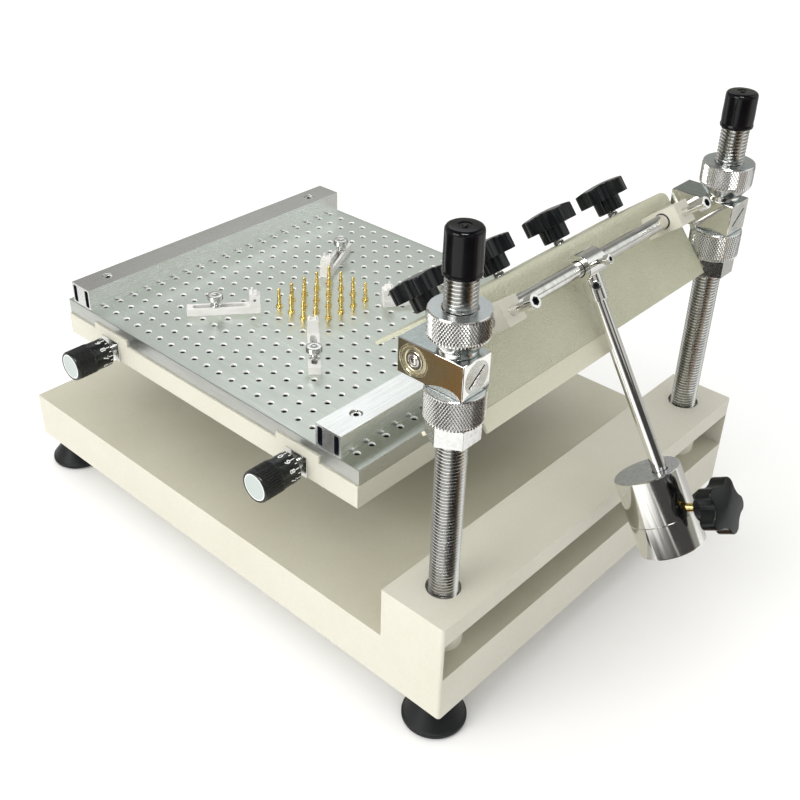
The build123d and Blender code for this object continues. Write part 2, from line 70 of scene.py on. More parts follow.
def R(axis, deg):
    return Matrix.Rotation(radians(deg), 4, axis)


HINGE_Y, HINGE_Z, TILT = 188.0, 280.0, 39.1
BEAM = T(0, HINGE_Y, HINGE_Z) @ R("X", TILT)
ARM = T(4, 197.3126, 287.5681) @ R("X", 31.0)
POST_X, POST_Y = 154.0, 210.5
POST_TOP = {"left": 365.5, "right": 367.5}
CAP_Z0 = {"left": 341.0, "right": 346.5}
SIDE = {"left": 1, "right": -1}


# ---------------------------------------------------------------- materials
def mix_color(nt, fac, a, b, blend="MIX"):
    n = nt.nodes.new("ShaderNodeMix")
    n.data_type = "RGBA"
    n.blend_type = blend
    if isinstance(fac, (int, float)):
        n.inputs[0].default_value = fac
    else:
        nt.links.new(fac, n.inputs[0])
    for i, c in ((6, a), (7, b)):
        if isinstance(c, (tuple, list)):
            n.inputs[i].default_value = (*c[:3], 1.0)
        else:
            nt.links.new(c, n.inputs[i])
    return n.outputs[2]


def ramp(nt, fac, stops):
    n = nt.nodes.new("ShaderNodeMapRange")
    n.inputs["From Min"].default_value, n.inputs["From Max"].default_value = stops[0], stops[1]
    n.inputs["To Min"].default_value, n.inputs["To Max"].default_value = stops[2], stops[3]
    nt.links.new(fac, n.inputs["Value"])
    return n.outputs["Result"]


def coords(nt, scale=(1, 1, 1), kind="Object"):
    tc = nt.nodes.new("ShaderNodeTexCoord")
    mp = nt.nodes.new("ShaderNodeMapping")
    mp.inputs["Scale"].default_value = scale
    nt.links.new(tc.outputs[kind], mp.inputs["Vector"])
    return mp.outputs["Vector"]


def noise(nt, vec, scale, detail=3.0, rough=0.55):
    n = nt.nodes.new("ShaderNodeTexNoise")
    n.inputs["Scale"].default_value = scale
    n.inputs["Detail"].default_value = detail
    n.inputs["Roughness"].default_value = rough
    nt.links.new(vec, n.inputs["Vector"])
    return n.outputs["Fac"]


def math_node(nt, op, a, b=None):
    n = nt.nodes.new("ShaderNodeMath")
    n.operation = op
    for i, v in enumerate((a, b)):
        if v is None:
            continue
        if isinstance(v, (int, float)):
            n.inputs[i].default_value = v
        else:
            nt.links.new(v, n.inputs[i])
    return n.outputs[0]


def bump(nt, height, strength, distance, normal=None):
    n = nt.nodes.new("ShaderNodeBump")
    n.inputs["Strength"].default_value = strength
    n.inputs["Distance"].default_value = distance
    nt.links.new(height, n.inputs["Height"])
    if normal is not None:
        nt.links.new(normal, n.inputs["Normal"])
    return n.outputs["Normal"]


def new_mat(name, metallic=0.0, specular=0.5, ior=1.45, coat=0.0, coat_rough=0.1, aniso=0.0, rough=0.4):
    m = bpy.data.materials.new(name)
    m.use_nodes = True
    nt = m.node_tree
    b = nt.nodes["Principled BSDF"]
    b.inputs["Metallic"].default_value = metallic
    b.inputs["Roughness"].default_value = rough
    b.inputs["IOR"].default_value = ior
    b.inputs["Specular IOR Level"].default_value = specular
    b.inputs["Coat Weight"].default_value = coat
    b.inputs["Coat Roughness"].default_value = coat_rough
    b.inputs["Anisotropic"].default_value = aniso
    return m, nt, b


def paint(name, base, dark, rough=(0.34, 0.46), peel=0.12, peel_size=1.6, leather=0.0, spec=0.5):
    """Powder coat: orange peel, faint colour drift, and a coarse leather texture where asked."""
    m, nt, b = new_mat(name, specular=spec)
    v = coords(nt)
    drift = noise(nt, v, 14.0, 3.0)
    fine = noise(nt, v, 420.0, 2.0)
    c = mix_color(nt, ramp(nt, drift, (0.35, 0.65, 0.0, 1.0)), base, dark)
    c = mix_color(nt, ramp(nt, fine, (0.35, 0.75, 0.0, 0.16)), c, tuple(x * 0.8 for x in dark))
    nt.links.new(c, b.inputs["Base Color"])
    nt.links.new(ramp(nt, fine, (0.3, 0.7, rough[0], rough[1])), b.inputs["Roughness"])
    h = noise(nt, v, 1000.0 / peel_size, 2.0, 0.45)
    normal = bump(nt, h, peel, 0.0003)
    if leather:
        normal = bump(nt, noise(nt, v, 740.0, 1.5, 0.5), leather, 0.0013, normal)
    nt.links.new(normal, b.inputs["Normal"])
    return m


def metal(name, base, tint, rough=(0.12, 0.24), grain=(1, 1, 1), grain_scale=300.0, grain_bump=0.05, aniso=0.0, blotch=0.0, kind="Object", scratch=0.0):
    """Bare or plated metal. grain stretches the fine noise: a small number runs the brushing along that axis."""
    m, nt, b = new_mat(name, metallic=1.0, aniso=aniso)
    v = coords(nt, grain, kind)
    g = noise(nt, v, grain_scale, 4.0, 0.6)
    w = noise(nt, coords(nt), 22.0, 3.0)
    c = mix_color(nt, ramp(nt, g, (0.3, 0.7, 0.0, 1.0)), base, tint)
    if blotch:
        c = mix_color(nt, ramp(nt, w, (0.45, 0.7, 0.0, blotch)), c, tuple(x * 0.55 for x in base))
    nt.links.new(c, b.inputs["Base Color"])
    r = math_node(nt, "ADD", ramp(nt, g, (0.3, 0.7, rough[0], rough[1])), ramp(nt, w, (0.35, 0.75, -0.03, 0.05)))
    nt.links.new(math_node(nt, "MAXIMUM", r, 0.03), b.inputs["Roughness"])
    n = bump(nt, g, grain_bump, 0.0002)
    if scratch:
        s = noise(nt, coords(nt, (3, 60, 60)), 60.0, 2.0, 0.7)
        n = bump(nt, s, scratch, 0.0001, n)
    nt.links.new(n, b.inputs["Normal"])
    return m


def plastic(name, base, rough=(0.1, 0.2), coat=0.0, grain=0.03, scale=500.0, spec=0.5, tint=None):
    m, nt, b = new_mat(name, specular=spec, coat=coat, coat_rough=0.05)
    v = coords(nt)
    f = noise(nt, v, scale, 3.0)
    w = noise(nt, v, 60.0, 3.0)
    nt.links.new(mix_color(nt, ramp(nt, w, (0.35, 0.7, 0.0, 1.0)), base, tint or tuple(x * 1.5 + 0.004 for x in base)), b.inputs["Base Color"])
    nt.links.new(math_node(nt, "ADD", ramp(nt, f, (0.3, 0.7, rough[0], rough[1])), ramp(nt, w, (0.3, 0.75, -0.02, 0.05))), b.inputs["Roughness"])
    nt.links.new(bump(nt, f, grain, 0.0003), b.inputs["Normal"])
    return m


def turned(name, base, tint, cx_mm, cz_mm):
    """Satin disc facing Y with fine turning rings round (|x|, z) = (cx, cz)."""
    m = metal(name, base, tint, rough=(0.22, 0.32), grain_scale=700.0)
    nt = m.node_tree
    b = nt.nodes["Principled BSDF"]
    sep = nt.nodes.new("ShaderNodeSeparateXYZ")
    nt.links.new(coords(nt), sep.inputs[0])
    dx = math_node(nt, "SUBTRACT", math_node(nt, "ABSOLUTE", sep.outputs["X"]), cx_mm * S)
    dz = math_node(nt, "SUBTRACT", sep.outputs["Z"], cz_mm * S)
    r = math_node(nt, "SQRT", math_node(nt, "ADD", math_node(nt, "MULTIPLY", dx, dx), math_node(nt, "MULTIPLY", dz, dz)))
    wave = math_node(nt, "SINE", math_node(nt, "MULTIPLY", r, 2 * pi / 0.0009))
    nt.links.new(bump(nt, wave, 0.35, 0.0001), b.inputs["Normal"])
    return m


def bore(name, top_mm, bright=(0.96, 0.96, 0.94), deep=(0.012, 0.013, 0.012)):
    """Wall of the plate's holes: polished and bright at the mouth, turning near black further down as painted shade."""
    m, nt, b = new_mat(name, specular=0.5, rough=0.35)
    v = coords(nt)
    sep = nt.nodes.new("ShaderNodeSeparateXYZ")
    nt.links.new(v, sep.inputs[0])
    depth = math_node(nt, "ADD", sep.outputs["Z"], ramp(nt, noise(nt, v, 300.0, 2.0), (0.3, 0.7, -0.0001, 0.0001)))
    # painted shade: below the mouth the colour fades from bright to near black, standing in for the shade deeper in
    # each hole
    fac = ramp(nt, depth, ((top_mm - 1.75) * S, (top_mm - 1.35) * S, 0.0, 1.0))
    nt.links.new(mix_color(nt, fac, deep, bright), b.inputs["Base Color"])
    return m


M = {
    "cream_paint": paint("cream_paint", (0.600, 0.582, 0.500), (0.575, 0.556, 0.470)),
    # painted shade: a darker, yellower copy of cream_paint for the deck lying under the table
    "cream_deck_painted_shade": paint("cream_deck_painted_shade", (0.565, 0.545, 0.440), (0.535, 0.512, 0.400), peel=0.16, peel_size=1.2),
    "cream_texture": paint("cream_texture", (0.530, 0.528, 0.405), (0.490, 0.488, 0.360), rough=(0.34, 0.50), peel=0.2, peel_size=1.4, leather=0.95),
    "cream_lip": paint("cream_lip", (0.640, 0.622, 0.500), (0.610, 0.590, 0.460), peel=0.08),
    "block_top": metal("block_top", (0.46, 0.50, 0.49), (0.38, 0.42, 0.41), rough=(0.10, 0.20), grain_scale=260.0, blotch=0.2),
    "black_rubber": plastic("black_rubber", (0.007, 0.008, 0.009), rough=(0.38, 0.55), grain=0.3, scale=700.0, spec=0.32, tint=(0.010, 0.011, 0.012)),
    "black_vinyl": plastic("black_vinyl", (0.003, 0.003, 0.004), rough=(0.06, 0.12), coat=0.0, grain=0.04, scale=160.0, spec=0.28, tint=(0.005, 0.005, 0.006)),
    "black_plastic": plastic("black_plastic", (0.003, 0.004, 0.005), rough=(0.12, 0.20), coat=0.0, grain=0.05, scale=300.0, spec=0.42, tint=(0.006, 0.007, 0.008)),
    "black_anodised": plastic("black_anodised", (0.008, 0.009, 0.009), rough=(0.20, 0.28), grain=0.06, scale=900.0, spec=0.6),
    # painted shade: a near-black material for the faces inside the rail slots, where there is only shade
    "slot_painted_shade": plastic("slot_painted_shade", (0.012, 0.016, 0.026), rough=(0.3, 0.5), grain=0.1, scale=500.0, spec=0.4),
    # painted shade: near-black material for gaps, hole rings and screw sockets, where there is only shade
    "gap_painted_shade": plastic("gap_painted_shade", (0.010, 0.012, 0.016), rough=(0.35, 0.5), grain=0.1, scale=500.0, spec=0.3),
    "zinc_steel": metal("zinc_steel", (0.82, 0.82, 0.80), (0.70, 0.70, 0.69), rough=(0.14, 0.26), grain_scale=500.0),
    "thread_steel": metal("thread_steel", (0.88, 0.88, 0.86), (0.76, 0.76, 0.75), rough=(0.10, 0.18), grain_scale=300.0, grain_bump=0.02, blotch=0.12),
    # painted shade: a darker copy of thread_steel for the thread roots and downward flanks
    "thread_root_painted_shade": metal("thread_root_painted_shade", (0.42, 0.42, 0.41), (0.30, 0.30, 0.29), rough=(0.20, 0.30), grain_scale=300.0, grain_bump=0.02),
    "ground_steel": metal("ground_steel", (0.80, 0.79, 0.76), (0.60, 0.59, 0.57), rough=(0.12, 0.26), grain=(1, 1, 1), grain_scale=180.0, blotch=0.45),
    "bearing_steel": metal("bearing_steel", (0.82, 0.81, 0.78), (0.68, 0.67, 0.63), rough=(0.10, 0.18), grain_scale=700.0),
    "bearing_ring": metal("bearing_ring", (0.80, 0.76, 0.58), (0.70, 0.66, 0.48), rough=(0.20, 0.30), grain_scale=700.0),
    "bearing_shield": metal("bearing_shield", (0.74, 0.69, 0.50), (0.62, 0.57, 0.40), rough=(0.26, 0.38), grain_scale=700.0),
    "nickel_nut": metal("nickel_nut", (0.82, 0.82, 0.81), (0.70, 0.70, 0.69), rough=(0.12, 0.22), grain_scale=420.0, blotch=0.1),
    "nut_face": metal("nut_face", (0.66, 0.70, 0.71), (0.58, 0.62, 0.63), rough=(0.24, 0.34), grain_scale=600.0),
    "chrome": metal("chrome", (0.90, 0.89, 0.86), (0.82, 0.81, 0.78), rough=(0.05, 0.11), grain_scale=220.0, grain_bump=0.03, blotch=0.08),
    "shaft_chrome": metal("shaft_chrome", (0.88, 0.87, 0.84), (0.66, 0.65, 0.62), rough=(0.10, 0.22), grain_scale=160.0, grain_bump=0.06, blotch=0.35),
    "weight_chrome": metal("weight_chrome", (0.88, 0.87, 0.84), (0.80, 0.79, 0.76), rough=(0.07, 0.15), grain=(1, 1, 0.05), grain_scale=500.0, grain_bump=0.05, blotch=0.08),
    "weight_face": metal("weight_face", (0.58, 0.60, 0.62), (0.50, 0.52, 0.54), rough=(0.20, 0.30), grain_scale=260.0, grain_bump=0.08),
    "satin_steel": metal("satin_steel", (0.62, 0.64, 0.66), (0.52, 0.54, 0.56), rough=(0.24, 0.34), grain_scale=260.0, grain_bump=0.08),
    "turned_plug": turned("turned_plug", (0.74, 0.75, 0.71), (0.64, 0.65, 0.61), 154.0, 280.0),
    "cast_aluminium": metal("cast_aluminium", (0.66, 0.66, 0.65), (0.54, 0.54, 0.53), rough=(0.3, 0.46), grain=(1, 14, 1), grain_scale=260.0),
    "brushed_plate": metal("brushed_plate", (0.66, 0.70, 0.65), (0.60, 0.64, 0.59), rough=(0.27, 0.36), grain=(40, 1, 40), grain_scale=24.0, grain_bump=0.05, scratch=0.02),
    "plate_edge": metal("plate_edge", (0.70, 0.72, 0.69), (0.60, 0.62, 0.59), rough=(0.26, 0.38), grain=(30, 1, 60), grain_scale=24.0, grain_bump=0.08),
    "bore_bright": metal("bore_bright", (0.97, 0.97, 0.95), (0.90, 0.90, 0.88), rough=(0.42, 0.55), grain_scale=300.0),
    "plate_bore_painted_shade": bore("plate_bore_painted_shade", 157.5),
    "rail_aluminium": metal("rail_aluminium", (0.92, 0.93, 0.92), (0.83, 0.84, 0.83), rough=(0.22, 0.32), grain=(1, 50, 50), grain_scale=26.0, grain_bump=0.10, scratch=0.03),
    # painted shade: a darker copy of rail_aluminium for the front rail's top face
    "rail_top_painted_shade": metal("rail_top_painted_shade", (0.60, 0.59, 0.57), (0.50, 0.49, 0.48), rough=(0.22, 0.34), grain=(1, 50, 50), grain_scale=26.0, grain_bump=0.10, scratch=0.03),
    "holder_aluminium": plastic("holder_aluminium", (0.78, 0.77, 0.75), rough=(0.30, 0.42), grain=0.12, scale=700.0, spec=0.4, tint=(0.70, 0.69, 0.67)),
    "brass": metal("brass", (0.95, 0.76, 0.32), (0.84, 0.62, 0.22), rough=(0.14, 0.24), grain=(1, 1, 8), grain_scale=400.0),
    "end_disc": plastic("end_disc", (0.42, 0.47, 0.45), rough=(0.35, 0.5), tint=(0.45, 0.50, 0.48), scale=900.0),
    "end_ring": plastic("end_ring", (0.88, 0.88, 0.86), rough=(0.2, 0.3), tint=(0.92, 0.92, 0.90), scale=900.0),
    "white_ink": plastic("white_ink", (0.88, 0.88, 0.86), rough=(0.4, 0.55), tint=(0.82, 0.82, 0.80)),
}


# ---------------------------------------------------------------- mesh building
def even(ob):
    """Flat faces keep flat shading next to their rounded edges."""
    w = ob.modifiers.new("even_normals", "WEIGHTED_NORMAL")
    w.mode = "FACE_AREA"
    w.weight = 90
    w.keep_sharp = True


class Solid:
    """Collects closed shells in millimetres; each may carry its own material."""

    def __init__(self):
        self.v, self.f, self.m = [], [], []

    def add(self, verts, faces, mat=0, at=None):
        base = len(self.v)
        if at is not None:
            verts = [tuple(c / S for c in (at @ Vector((p[0] * S, p[1] * S, p[2] * S)))) for p in verts]
        self.v.extend(tuple(p) for p in verts)
        self.f.extend(tuple(base + i for i in f) for f in faces)
        self.m.extend([mat] * len(faces) if isinstance(mat, int) else mat)
        return self

    def build(self, name, mats, body, at=None, nodes=(), slot=None, sharp=38.0, merge=None, fix=True, weigh=True, bake=False):
        me = bpy.data.meshes.new(name)
        me.from_pydata((np.array(self.v, float) * S).tolist(), [], self.f)
        me.polygons.foreach_set("material_index", self.m)
        bm = bmesh.new()
        bm.from_mesh(me)
        if merge:
            bmesh.ops.remove_doubles(bm, verts=bm.verts, dist=merge * S)
        if fix:
            bmesh.ops.recalc_face_normals(bm, faces=bm.faces)
        bm.to_mesh(me)
        bm.free()
        me.polygons.foreach_set("use_smooth", [True] * len(me.polygons))
        if sharp:
            me.set_sharp_from_angle(angle=radians(sharp))
        for k in mats if isinstance(mats, (list, tuple)) else [mats]:
            me.materials.append(M[k])
        ob = bpy.data.objects.new(name, me)
        bpy.context.scene.collection.objects.link(ob)
        if weigh:
            even(ob)
        if bake:
            me.transform(at)
        elif at is not None:
            ob.matrix_world = at
        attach(ob, body)
        if nodes:
            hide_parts(*nodes)
        return ob


def soften(pts, rad=0.3, n=3, closed=False, own=None):
    """Rounds the corners of a profile; own = {index: radius}."""
    out, N = [], len(pts)
    for i, p in enumerate(pts):
        p = Vector(p)
        if not closed and i in (0, N - 1):
            out.append(tuple(p))
            continue
        a, b = Vector(pts[i - 1]), Vector(pts[(i + 1) % N])
        r = (own or {}).get(i, rad)
        da, db = (a - p).length, (b - p).length
        if r <= 0 or da < 1e-6 or db < 1e-6:
            out.append(tuple(p))
            continue
        u, v = (a - p) / da, (b - p) / db
        ang = acos(max(-1.0, min(1.0, u.dot(v))))
        if abs(pi - ang) < 0.08:
            out.append(tuple(p))
            continue
        t = min(r / tan(ang / 2), 0.45 * da, 0.45 * db)
        A, B = p + u * t, p + v * t
        for k in range(n + 1):
            s = k / n
            q = A * (1 - s) ** 2 + p * 2 * s * (1 - s) + B * s * s
            out.append(tuple(q))
    return out


def lathe(prof, segs=64, closed=False):
    """Profile of (r, z) turned about Z."""
    verts, faces, rings = [], [], []
    cs = [(cos(2 * pi * i / segs), sin(2 * pi * i / segs)) for i in range(segs)]
    for r, z in prof:
        if r < 1e-6:
            rings.append([len(verts)])
            verts.append((0, 0, z))
        else:
            rings.append(list(range(len(verts), len(verts) + segs)))
            verts += [(r * c, r * s, z) for c, s in cs]
    pairs = list(zip(rings, rings[1:]))
    if closed:
        pairs.append((rings[-1], rings[0]))
    for a, b in pairs:
        if len(a) == 1 and len(b) == 1:
            continue
        for i in range(segs):
            j = (i + 1) % segs
            if len(a) == 1:
                faces.append((a[0], b[j], b[i]))
            elif len(b) == 1:
                faces.append((a[i], a[j], b[0]))
            else:
                faces.append((a[i], a[j], b[j], b[i]))
    return verts, faces


def stack(rings, cap=True):
    """Rings of equal length, each a list of (x, y, z), joined into a closed shell."""
    verts, faces, n = [], [], len(rings[0])
    for ring in rings:
        verts += [tuple(p) for p in ring]
    for k in range(len(rings) - 1):
        a, b = k * n, (k + 1) * n
        for i in range(n):
            j = (i + 1) % n
            faces.append((a + i, a + j, b + j, b + i))
    if cap:
        for k, flip in ((0, True), (len(rings) - 1, False)):
            c = np.mean(np.array(rings[k], float), axis=0)
            verts.append(tuple(c))
            ci = len(verts) - 1
            for i in range(n):
                j = (i + 1) % n
                a, b = k * n + i, k * n + j
                faces.append((ci, b, a) if flip else (ci, a, b))
    return verts, faces


def tidy(node, bevel, mat, segs=2, angle=32.0, sharp=38.0, name=None, mat_by=None, skip=None, split=None):
    """A clean copy of a CAD node with its edges softened; it stands for that node."""
    src = NODES[node]
    bm = bmesh.new()
    bm.from_mesh(src.data)
    bmesh.ops.remove_doubles(bm, verts=bm.verts, dist=2e-6)
    bmesh.ops.dissolve_limit(bm, angle_limit=radians(0.4), verts=bm.verts, edges=bm.edges, delimit={"NORMAL"})
    if split is not None:
        bmesh.ops.bisect_plane(bm, geom=bm.verts[:] + bm.edges[:] + bm.faces[:], dist=1e-6, plane_co=(split * S, 0, 0), plane_no=(1, 0, 0))
    if bevel:
        edges = [e for e in bm.edges if len(e.link_faces) == 2 and e.calc_face_angle(0.0) > radians(angle)]
        if skip:
            edges = [e for e in edges if not skip((e.verts[0].co + e.verts[1].co) / (2 * S))]
        bmesh.ops.bevel(bm, geom=edges, offset=bevel * S, offset_type="OFFSET", segments=segs, profile=0.5, affect="EDGES", clamp_overlap=True, loop_slide=True)
    me = bpy.data.meshes.new("vis_" + node)
    bm.to_mesh(me)
    bm.free()
    me.polygons.foreach_set("use_smooth", [True] * len(me.polygons))
    me.set_sharp_from_angle(angle=radians(sharp))
    for k in mat if isinstance(mat, (list, tuple)) else [mat]:
        me.materials.append(M[k])
    if mat_by is not None:
        idx = [mat_by(p.center / S, p.normal) for p in me.polygons]
        me.polygons.foreach_set("material_index", idx)
    ob = bpy.data.objects.new(name or "vis_" + node, me)
    bpy.context.scene.collection.objects.link(ob)
    even(ob)
    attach(ob, BODY_OF[node])
    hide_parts(node)
    return ob


# ---------------------------------------------------------------- base and feet
# the base's low top faces take the darker deck copy of the paint: painted shade
tidy("base_shell", 1.1, ["cream_paint", "cream_deck_painted_shade"], segs=3, mat_by=lambda c, n: 1 if n.z > 0.8 and c.z < 100 else 0)
tidy("base_floor", 0.3, "cream_paint")
tidy("post_sleeves", 0.5, "cream_paint")

FEET = {"foot_front_right": (1, -1), "foot_front_left": (-1, -1), "foot_rear_right": (1, 1), "foot_rear_left": (-1, 1)}
for name, (sx, sy) in FEET.items():
    x, y = sx * 165.0, sy * 217.5
    s = Solid()
    prof = [(0, 0.0), (19.5, 0.0), (20.5, 0.9), (22.2, 0.9), (23.0, 1.8), (23.0, 4.2), (21.6, 5.4), (12.2, 19.5), (10.6, 22.5), (10.2, 26.8), (0, 26.8)]
    s.add(*lathe(soften(prof, 0.7, 3, own={7: 4.0, 8: 2.0}), 72))
    s.build("vis_" + name, "black_rubber", BODY_OF[name], at=T(x, y, 0), nodes=(name,), slot="black_rubber")
    st = Solid()
    st.add(*lathe(soften([(0, 26.8), (4, 26.8), (4, 28.9), (0, 28.9)], 0.2), 40))
    st.build("vis_stud_" + name, "zinc_steel", BODY_OF[name], at=T(x, y, 0), nodes=(name,), slot="zinc_steel")


# ---------------------------------------------------------------- threaded posts, caps
def thread(z0, z1, pitch=2.5, r=10.0, root=8.62, segs=56, shaded=False):
    shape = ((0.0, r), (0.42, r), (1.12, root), (1.80, root))
    turns = int((z1 - z0) / pitch) - 1
    rows = turns * 4 + 1
    verts = []
    for j in range(rows):
        off, rr = shape[j % 4]
        zz = z0 + (j // 4) * pitch + off
        for k in range(segs):
            a = 2 * pi * k / segs
            verts.append((rr * cos(a), rr * sin(a), zz + pitch * k / segs))
    faces, mats = [], []
    for j in range(rows - 1):
        for k in range(segs - 1):
            faces.append((j * segs + k, j * segs + k + 1, (j + 1) * segs + k + 1, (j + 1) * segs + k))
        if j + 5 < rows:
            faces.append((j * segs + segs - 1, (j + 4) * segs, (j + 5) * segs, (j + 1) * segs + segs - 1))
        # roots and downward-facing flanks take the second, darker material: painted shade in the grooves
        mats += [1 if j % 4 in (2, 3) else 0] * (len(faces) - len(mats))
    low = [k for k in range(segs)] + [4 * segs, 3 * segs, 2 * segs, segs]
    c0 = len(verts)
    verts.append((0, 0, z0 + pitch))
    for i in range(len(low)):
        faces.append((c0, low[(i + 1) % len(low)], low[i]))
    last = rows - 1
    high = [last * segs + k for k in range(segs)] + [(last - q) * segs + segs - 1 for q in (1, 2, 3, 4)]
    c1 = len(verts)
    verts.append((0, 0, z0 + turns * pitch))
    for i in range(len(high)):
        faces.append((c1, high[i], high[(i + 1) % len(high)]))
    mats += [0] * (len(faces) - len(mats))
    return (verts, faces, mats) if shaded else (verts, faces)


for side, sx in SIDE.items():
    x, top = sx * POST_X, POST_TOP[side]
    s = Solid()
    s.add(*thread(60.0, top - 0.8, shaded=True))
    s.add(*lathe(soften([(0, 29.0), (8.4, 29.0), (8.4, top - 6), (0, top - 6)], 0.2), 48))
    s.build(f"vis_post_{side}", ["thread_steel", "thread_root_painted_shade"], "base", at=T(x, POST_Y, 0), nodes=("posts",), slot="zinc_steel", sharp=60)
    c = Solid()
    z0, roof, crown = CAP_Z0[side], top, top + 4.5
    prof = [(0, roof), (10.05, roof), (10.05, z0 + 0.6), (10.6, z0), (11.5, z0), (11.75, z0 + 1.6), (11.35, z0 + 3.0), (11.5, z0 + 9), (11.35, crown - 9.0), (11.3, crown), (4.6, crown + 0.05), (3.4, crown - 0.55), (1.9, crown - 0.6), (1.5, crown + 0.25), (0, crown + 0.3)]
    c.add(*lathe(soften(prof, 0.6, 4, own={1: 0.2, 2: 0.2, 9: 3.9, 8: 0, 7: 0, 10: 0.5, 11: 0.3, 12: 0.2, 13: 0.3}), 64))
    c.build(f"vis_cap_{side}", "black_vinyl", "base", at=T(x, POST_Y, 0), nodes=("post_caps",), slot="black_vinyl")


# ---------------------------------------------------------------- knurled nuts
def knurl(z0, z1, r, count=60, depth=0.72):
    """Pyramid lattice on a cylinder between z0 and z1; returns rings bottom to top."""
    step = 1.55 * pi * r / count
    rows = max(2, int(round((z1 - z0) / step / 2)) * 2)
    rings = []
    for j in range(rows + 1):
        z = z0 + (z1 - z0) * j / rows
        ring = []
        for i in range(2 * count):
            edge = j in (0, rows)
            rr = r - depth if (i + j) % 2 == 0 else (r - 0.35 * depth if edge else r)
            a = pi * i / count
            ring.append((rr * cos(a), rr * sin(a), z))
        rings.append(ring)
    return rings


def knurled_ring(prof_low, z0, z1, prof_high, r, count=60, depth=0.72):
    """Closed shell: bore and lower part, knurled band, upper part. Profiles run from the bore out, and back."""
    n = 2 * count
    ring = lambda rr, z: [(rr * cos(pi * i / count), rr * sin(pi * i / count), z) for i in range(n)]
    rings = [ring(rr, z) for rr, z in prof_low] + knurl(z0, z1, r, count, depth) + [ring(rr, z) for rr, z in prof_high]
    verts, faces = [], []
    for g in rings:
        verts += g
    k0 = len(prof_low)
    rows = len(rings)
    k1 = rows - len(prof_high) - 1
    mats = []
    for k in range(rows):
        a, b = k * n, ((k + 1) % rows) * n
        for i in range(n):
            j = (i + 1) % n
            if k0 <= k < k1:
                if (i + (k - k0)) % 2 == 0:
                    faces += [(a + i, a + j, b + j), (a + i, b + j, b + i)]
                else:
                    faces += [(a + i, a + j, b + i), (a + j, b + j, b + i)]
                mats += [0, 0]
            else:
                faces.append((a + i, a + j, b + j, b + i))
                flat = abs(rings[k][0][2] - rings[(k + 1) % rows][0][2]) < 0.05
                mats.append(1 if flat and k > k1 else 0)
    return verts, faces, mats


BORE = 10.05
for side, sx in SIDE.items():
    at = T(sx * POST_X, POST_Y, 0)
    s = Solid()
    low = soften([(BORE, 293.0), (BORE + 0.6, 292.2), (12.4, 292.2), (12.5, 295.4), (18.6, 303.2)], 0.35, 2)
    high = [(18.7, 319.3), (18.2, 320.0), (14.2, 320.0), (BORE + 0.9, 320.0), (BORE, 319.2)]
    s.add(*knurled_ring(low, 303.9, 319.0, high, 19.0))
    s.build(f"vis_upper_nut_{side}", ["nickel_nut", "nut_face"], f"upper_nut_{side}_body", at=at, nodes=(f"upper_nut_{side}",), slot="nickel_nut", sharp=24)
    s = Solid()
    low = [(BORE, 247.3), (BORE + 0.8, 246.5), (18.1, 246.5), (18.6, 247.0)]
    high = [(18.6, 267.3), (18.1, 267.8), (14.0, 267.8), (BORE + 0.8, 267.8), (BORE, 267.0)]
    s.add(*knurled_ring(low, 247.4, 266.9, high, 19.0))
    s.build(f"vis_lower_nut_{side}", ["nickel_nut", "nut_face"], f"lower_nut_{side}_body", at=at, nodes=(f"lower_nut_{side}",), slot="nickel_nut", sharp=24)
    tidy(f"lock_nut_{side}", 0.35, "nickel_nut")

# ---------------------------------------------------------------- hinge blocks
tidy("hinge_blocks", 0.0, ["chrome", "block_top"], mat_by=lambda c, n: 1 if n.z > 0.8 else 0)
# a thin band of faces next to each plug takes the third material, a painted shade
tidy("block_fittings", 0.15, ["ground_steel", "turned_plug", "gap_painted_shade"], mat_by=lambda c, n: 1 if n.y > 0.8 and abs(abs(c.x) - 154.0) < 11 and c.y > 225.2 else 2 if abs(abs(c.x) - 154.0) < 9 and c.y < 225.2 and c.y > 223.5 else 0)
s = Solid()
p = Solid()
for sx in (1, -1):
    at = T(sx * 166.5, HINGE_Y, HINGE_Z) @ R("Y", 90 * sx)
    s.add(*lathe(soften([(9.3, -7.0), (10.95, -7.0), (10.95, -0.7), (10.6, -0.4), (9.5, -0.4), (9.3, -0.7)], 0.15, 3, closed=True), 96, closed=True), mat=1, at=at)
    s.add(*lathe(soften([(6.4, -6.4), (9.35, -6.4), (9.35, -1.3), (8.9, -0.9), (7.2, -0.75), (6.4, -1.2)], 0.2, 3, closed=True), 96, closed=True), mat=2, at=at)
    s.add(*lathe(soften([(4.1, -7.0), (6.2, -7.0), (6.2, -0.6), (5.9, -0.4), (4.4, -0.4), (4.1, -0.7)], 0.15, 3, closed=True), 96, closed=True), mat=0, at=at)
    p.add(*lathe(soften([(0, -71.1), (4.0, -71.1), (4.0, -0.5), (3.3, -0.1), (2.5, -0.1), (2.2, 0.25), (1.2, 0.5), (0, 0.55)], 0.3, 3), 64), at=at)
s.build("vis_pivot_bearings", ["bearing_steel", "bearing_ring", "bearing_shield"], "hinge_carriage", nodes=("pivot_bearings",), slot="bearing_steel")
p.build("vis_pivot_pins", "ground_steel", BODY_OF["pivot_pins"], nodes=("pivot_pins",), slot="ground_steel")

# ---------------------------------------------------------------- beam
BEAM_INV = BEAM.inverted()


def seam(level):
    """True where an edge lies on the beam's plane u = level, on the side without the lip."""
    return lambda p: abs((BEAM_INV @ (p * S)).z / S - level) < 0.05 and p.x < -3.9


tidy("beam_channel", 0.7, "cream_texture", segs=3, skip=seam(-47.5), split=-4.0)
tidy("beam_jaw", 0.7, ["cream_texture", "cream_lip"], segs=3, mat_by=lambda c, n: 1 if c.x > -4.2 and (BEAM_INV @ (c * S)).z < -47.0 * S else 0, skip=lambda p: seam(-47.5)(p) or (seam(-50.5)(p) and abs((BEAM_INV @ (p * S)).y / S + 4.3) < 0.05), split=-4.0)
tidy("shaft_brackets", 0.45, "cream_paint", segs=3)


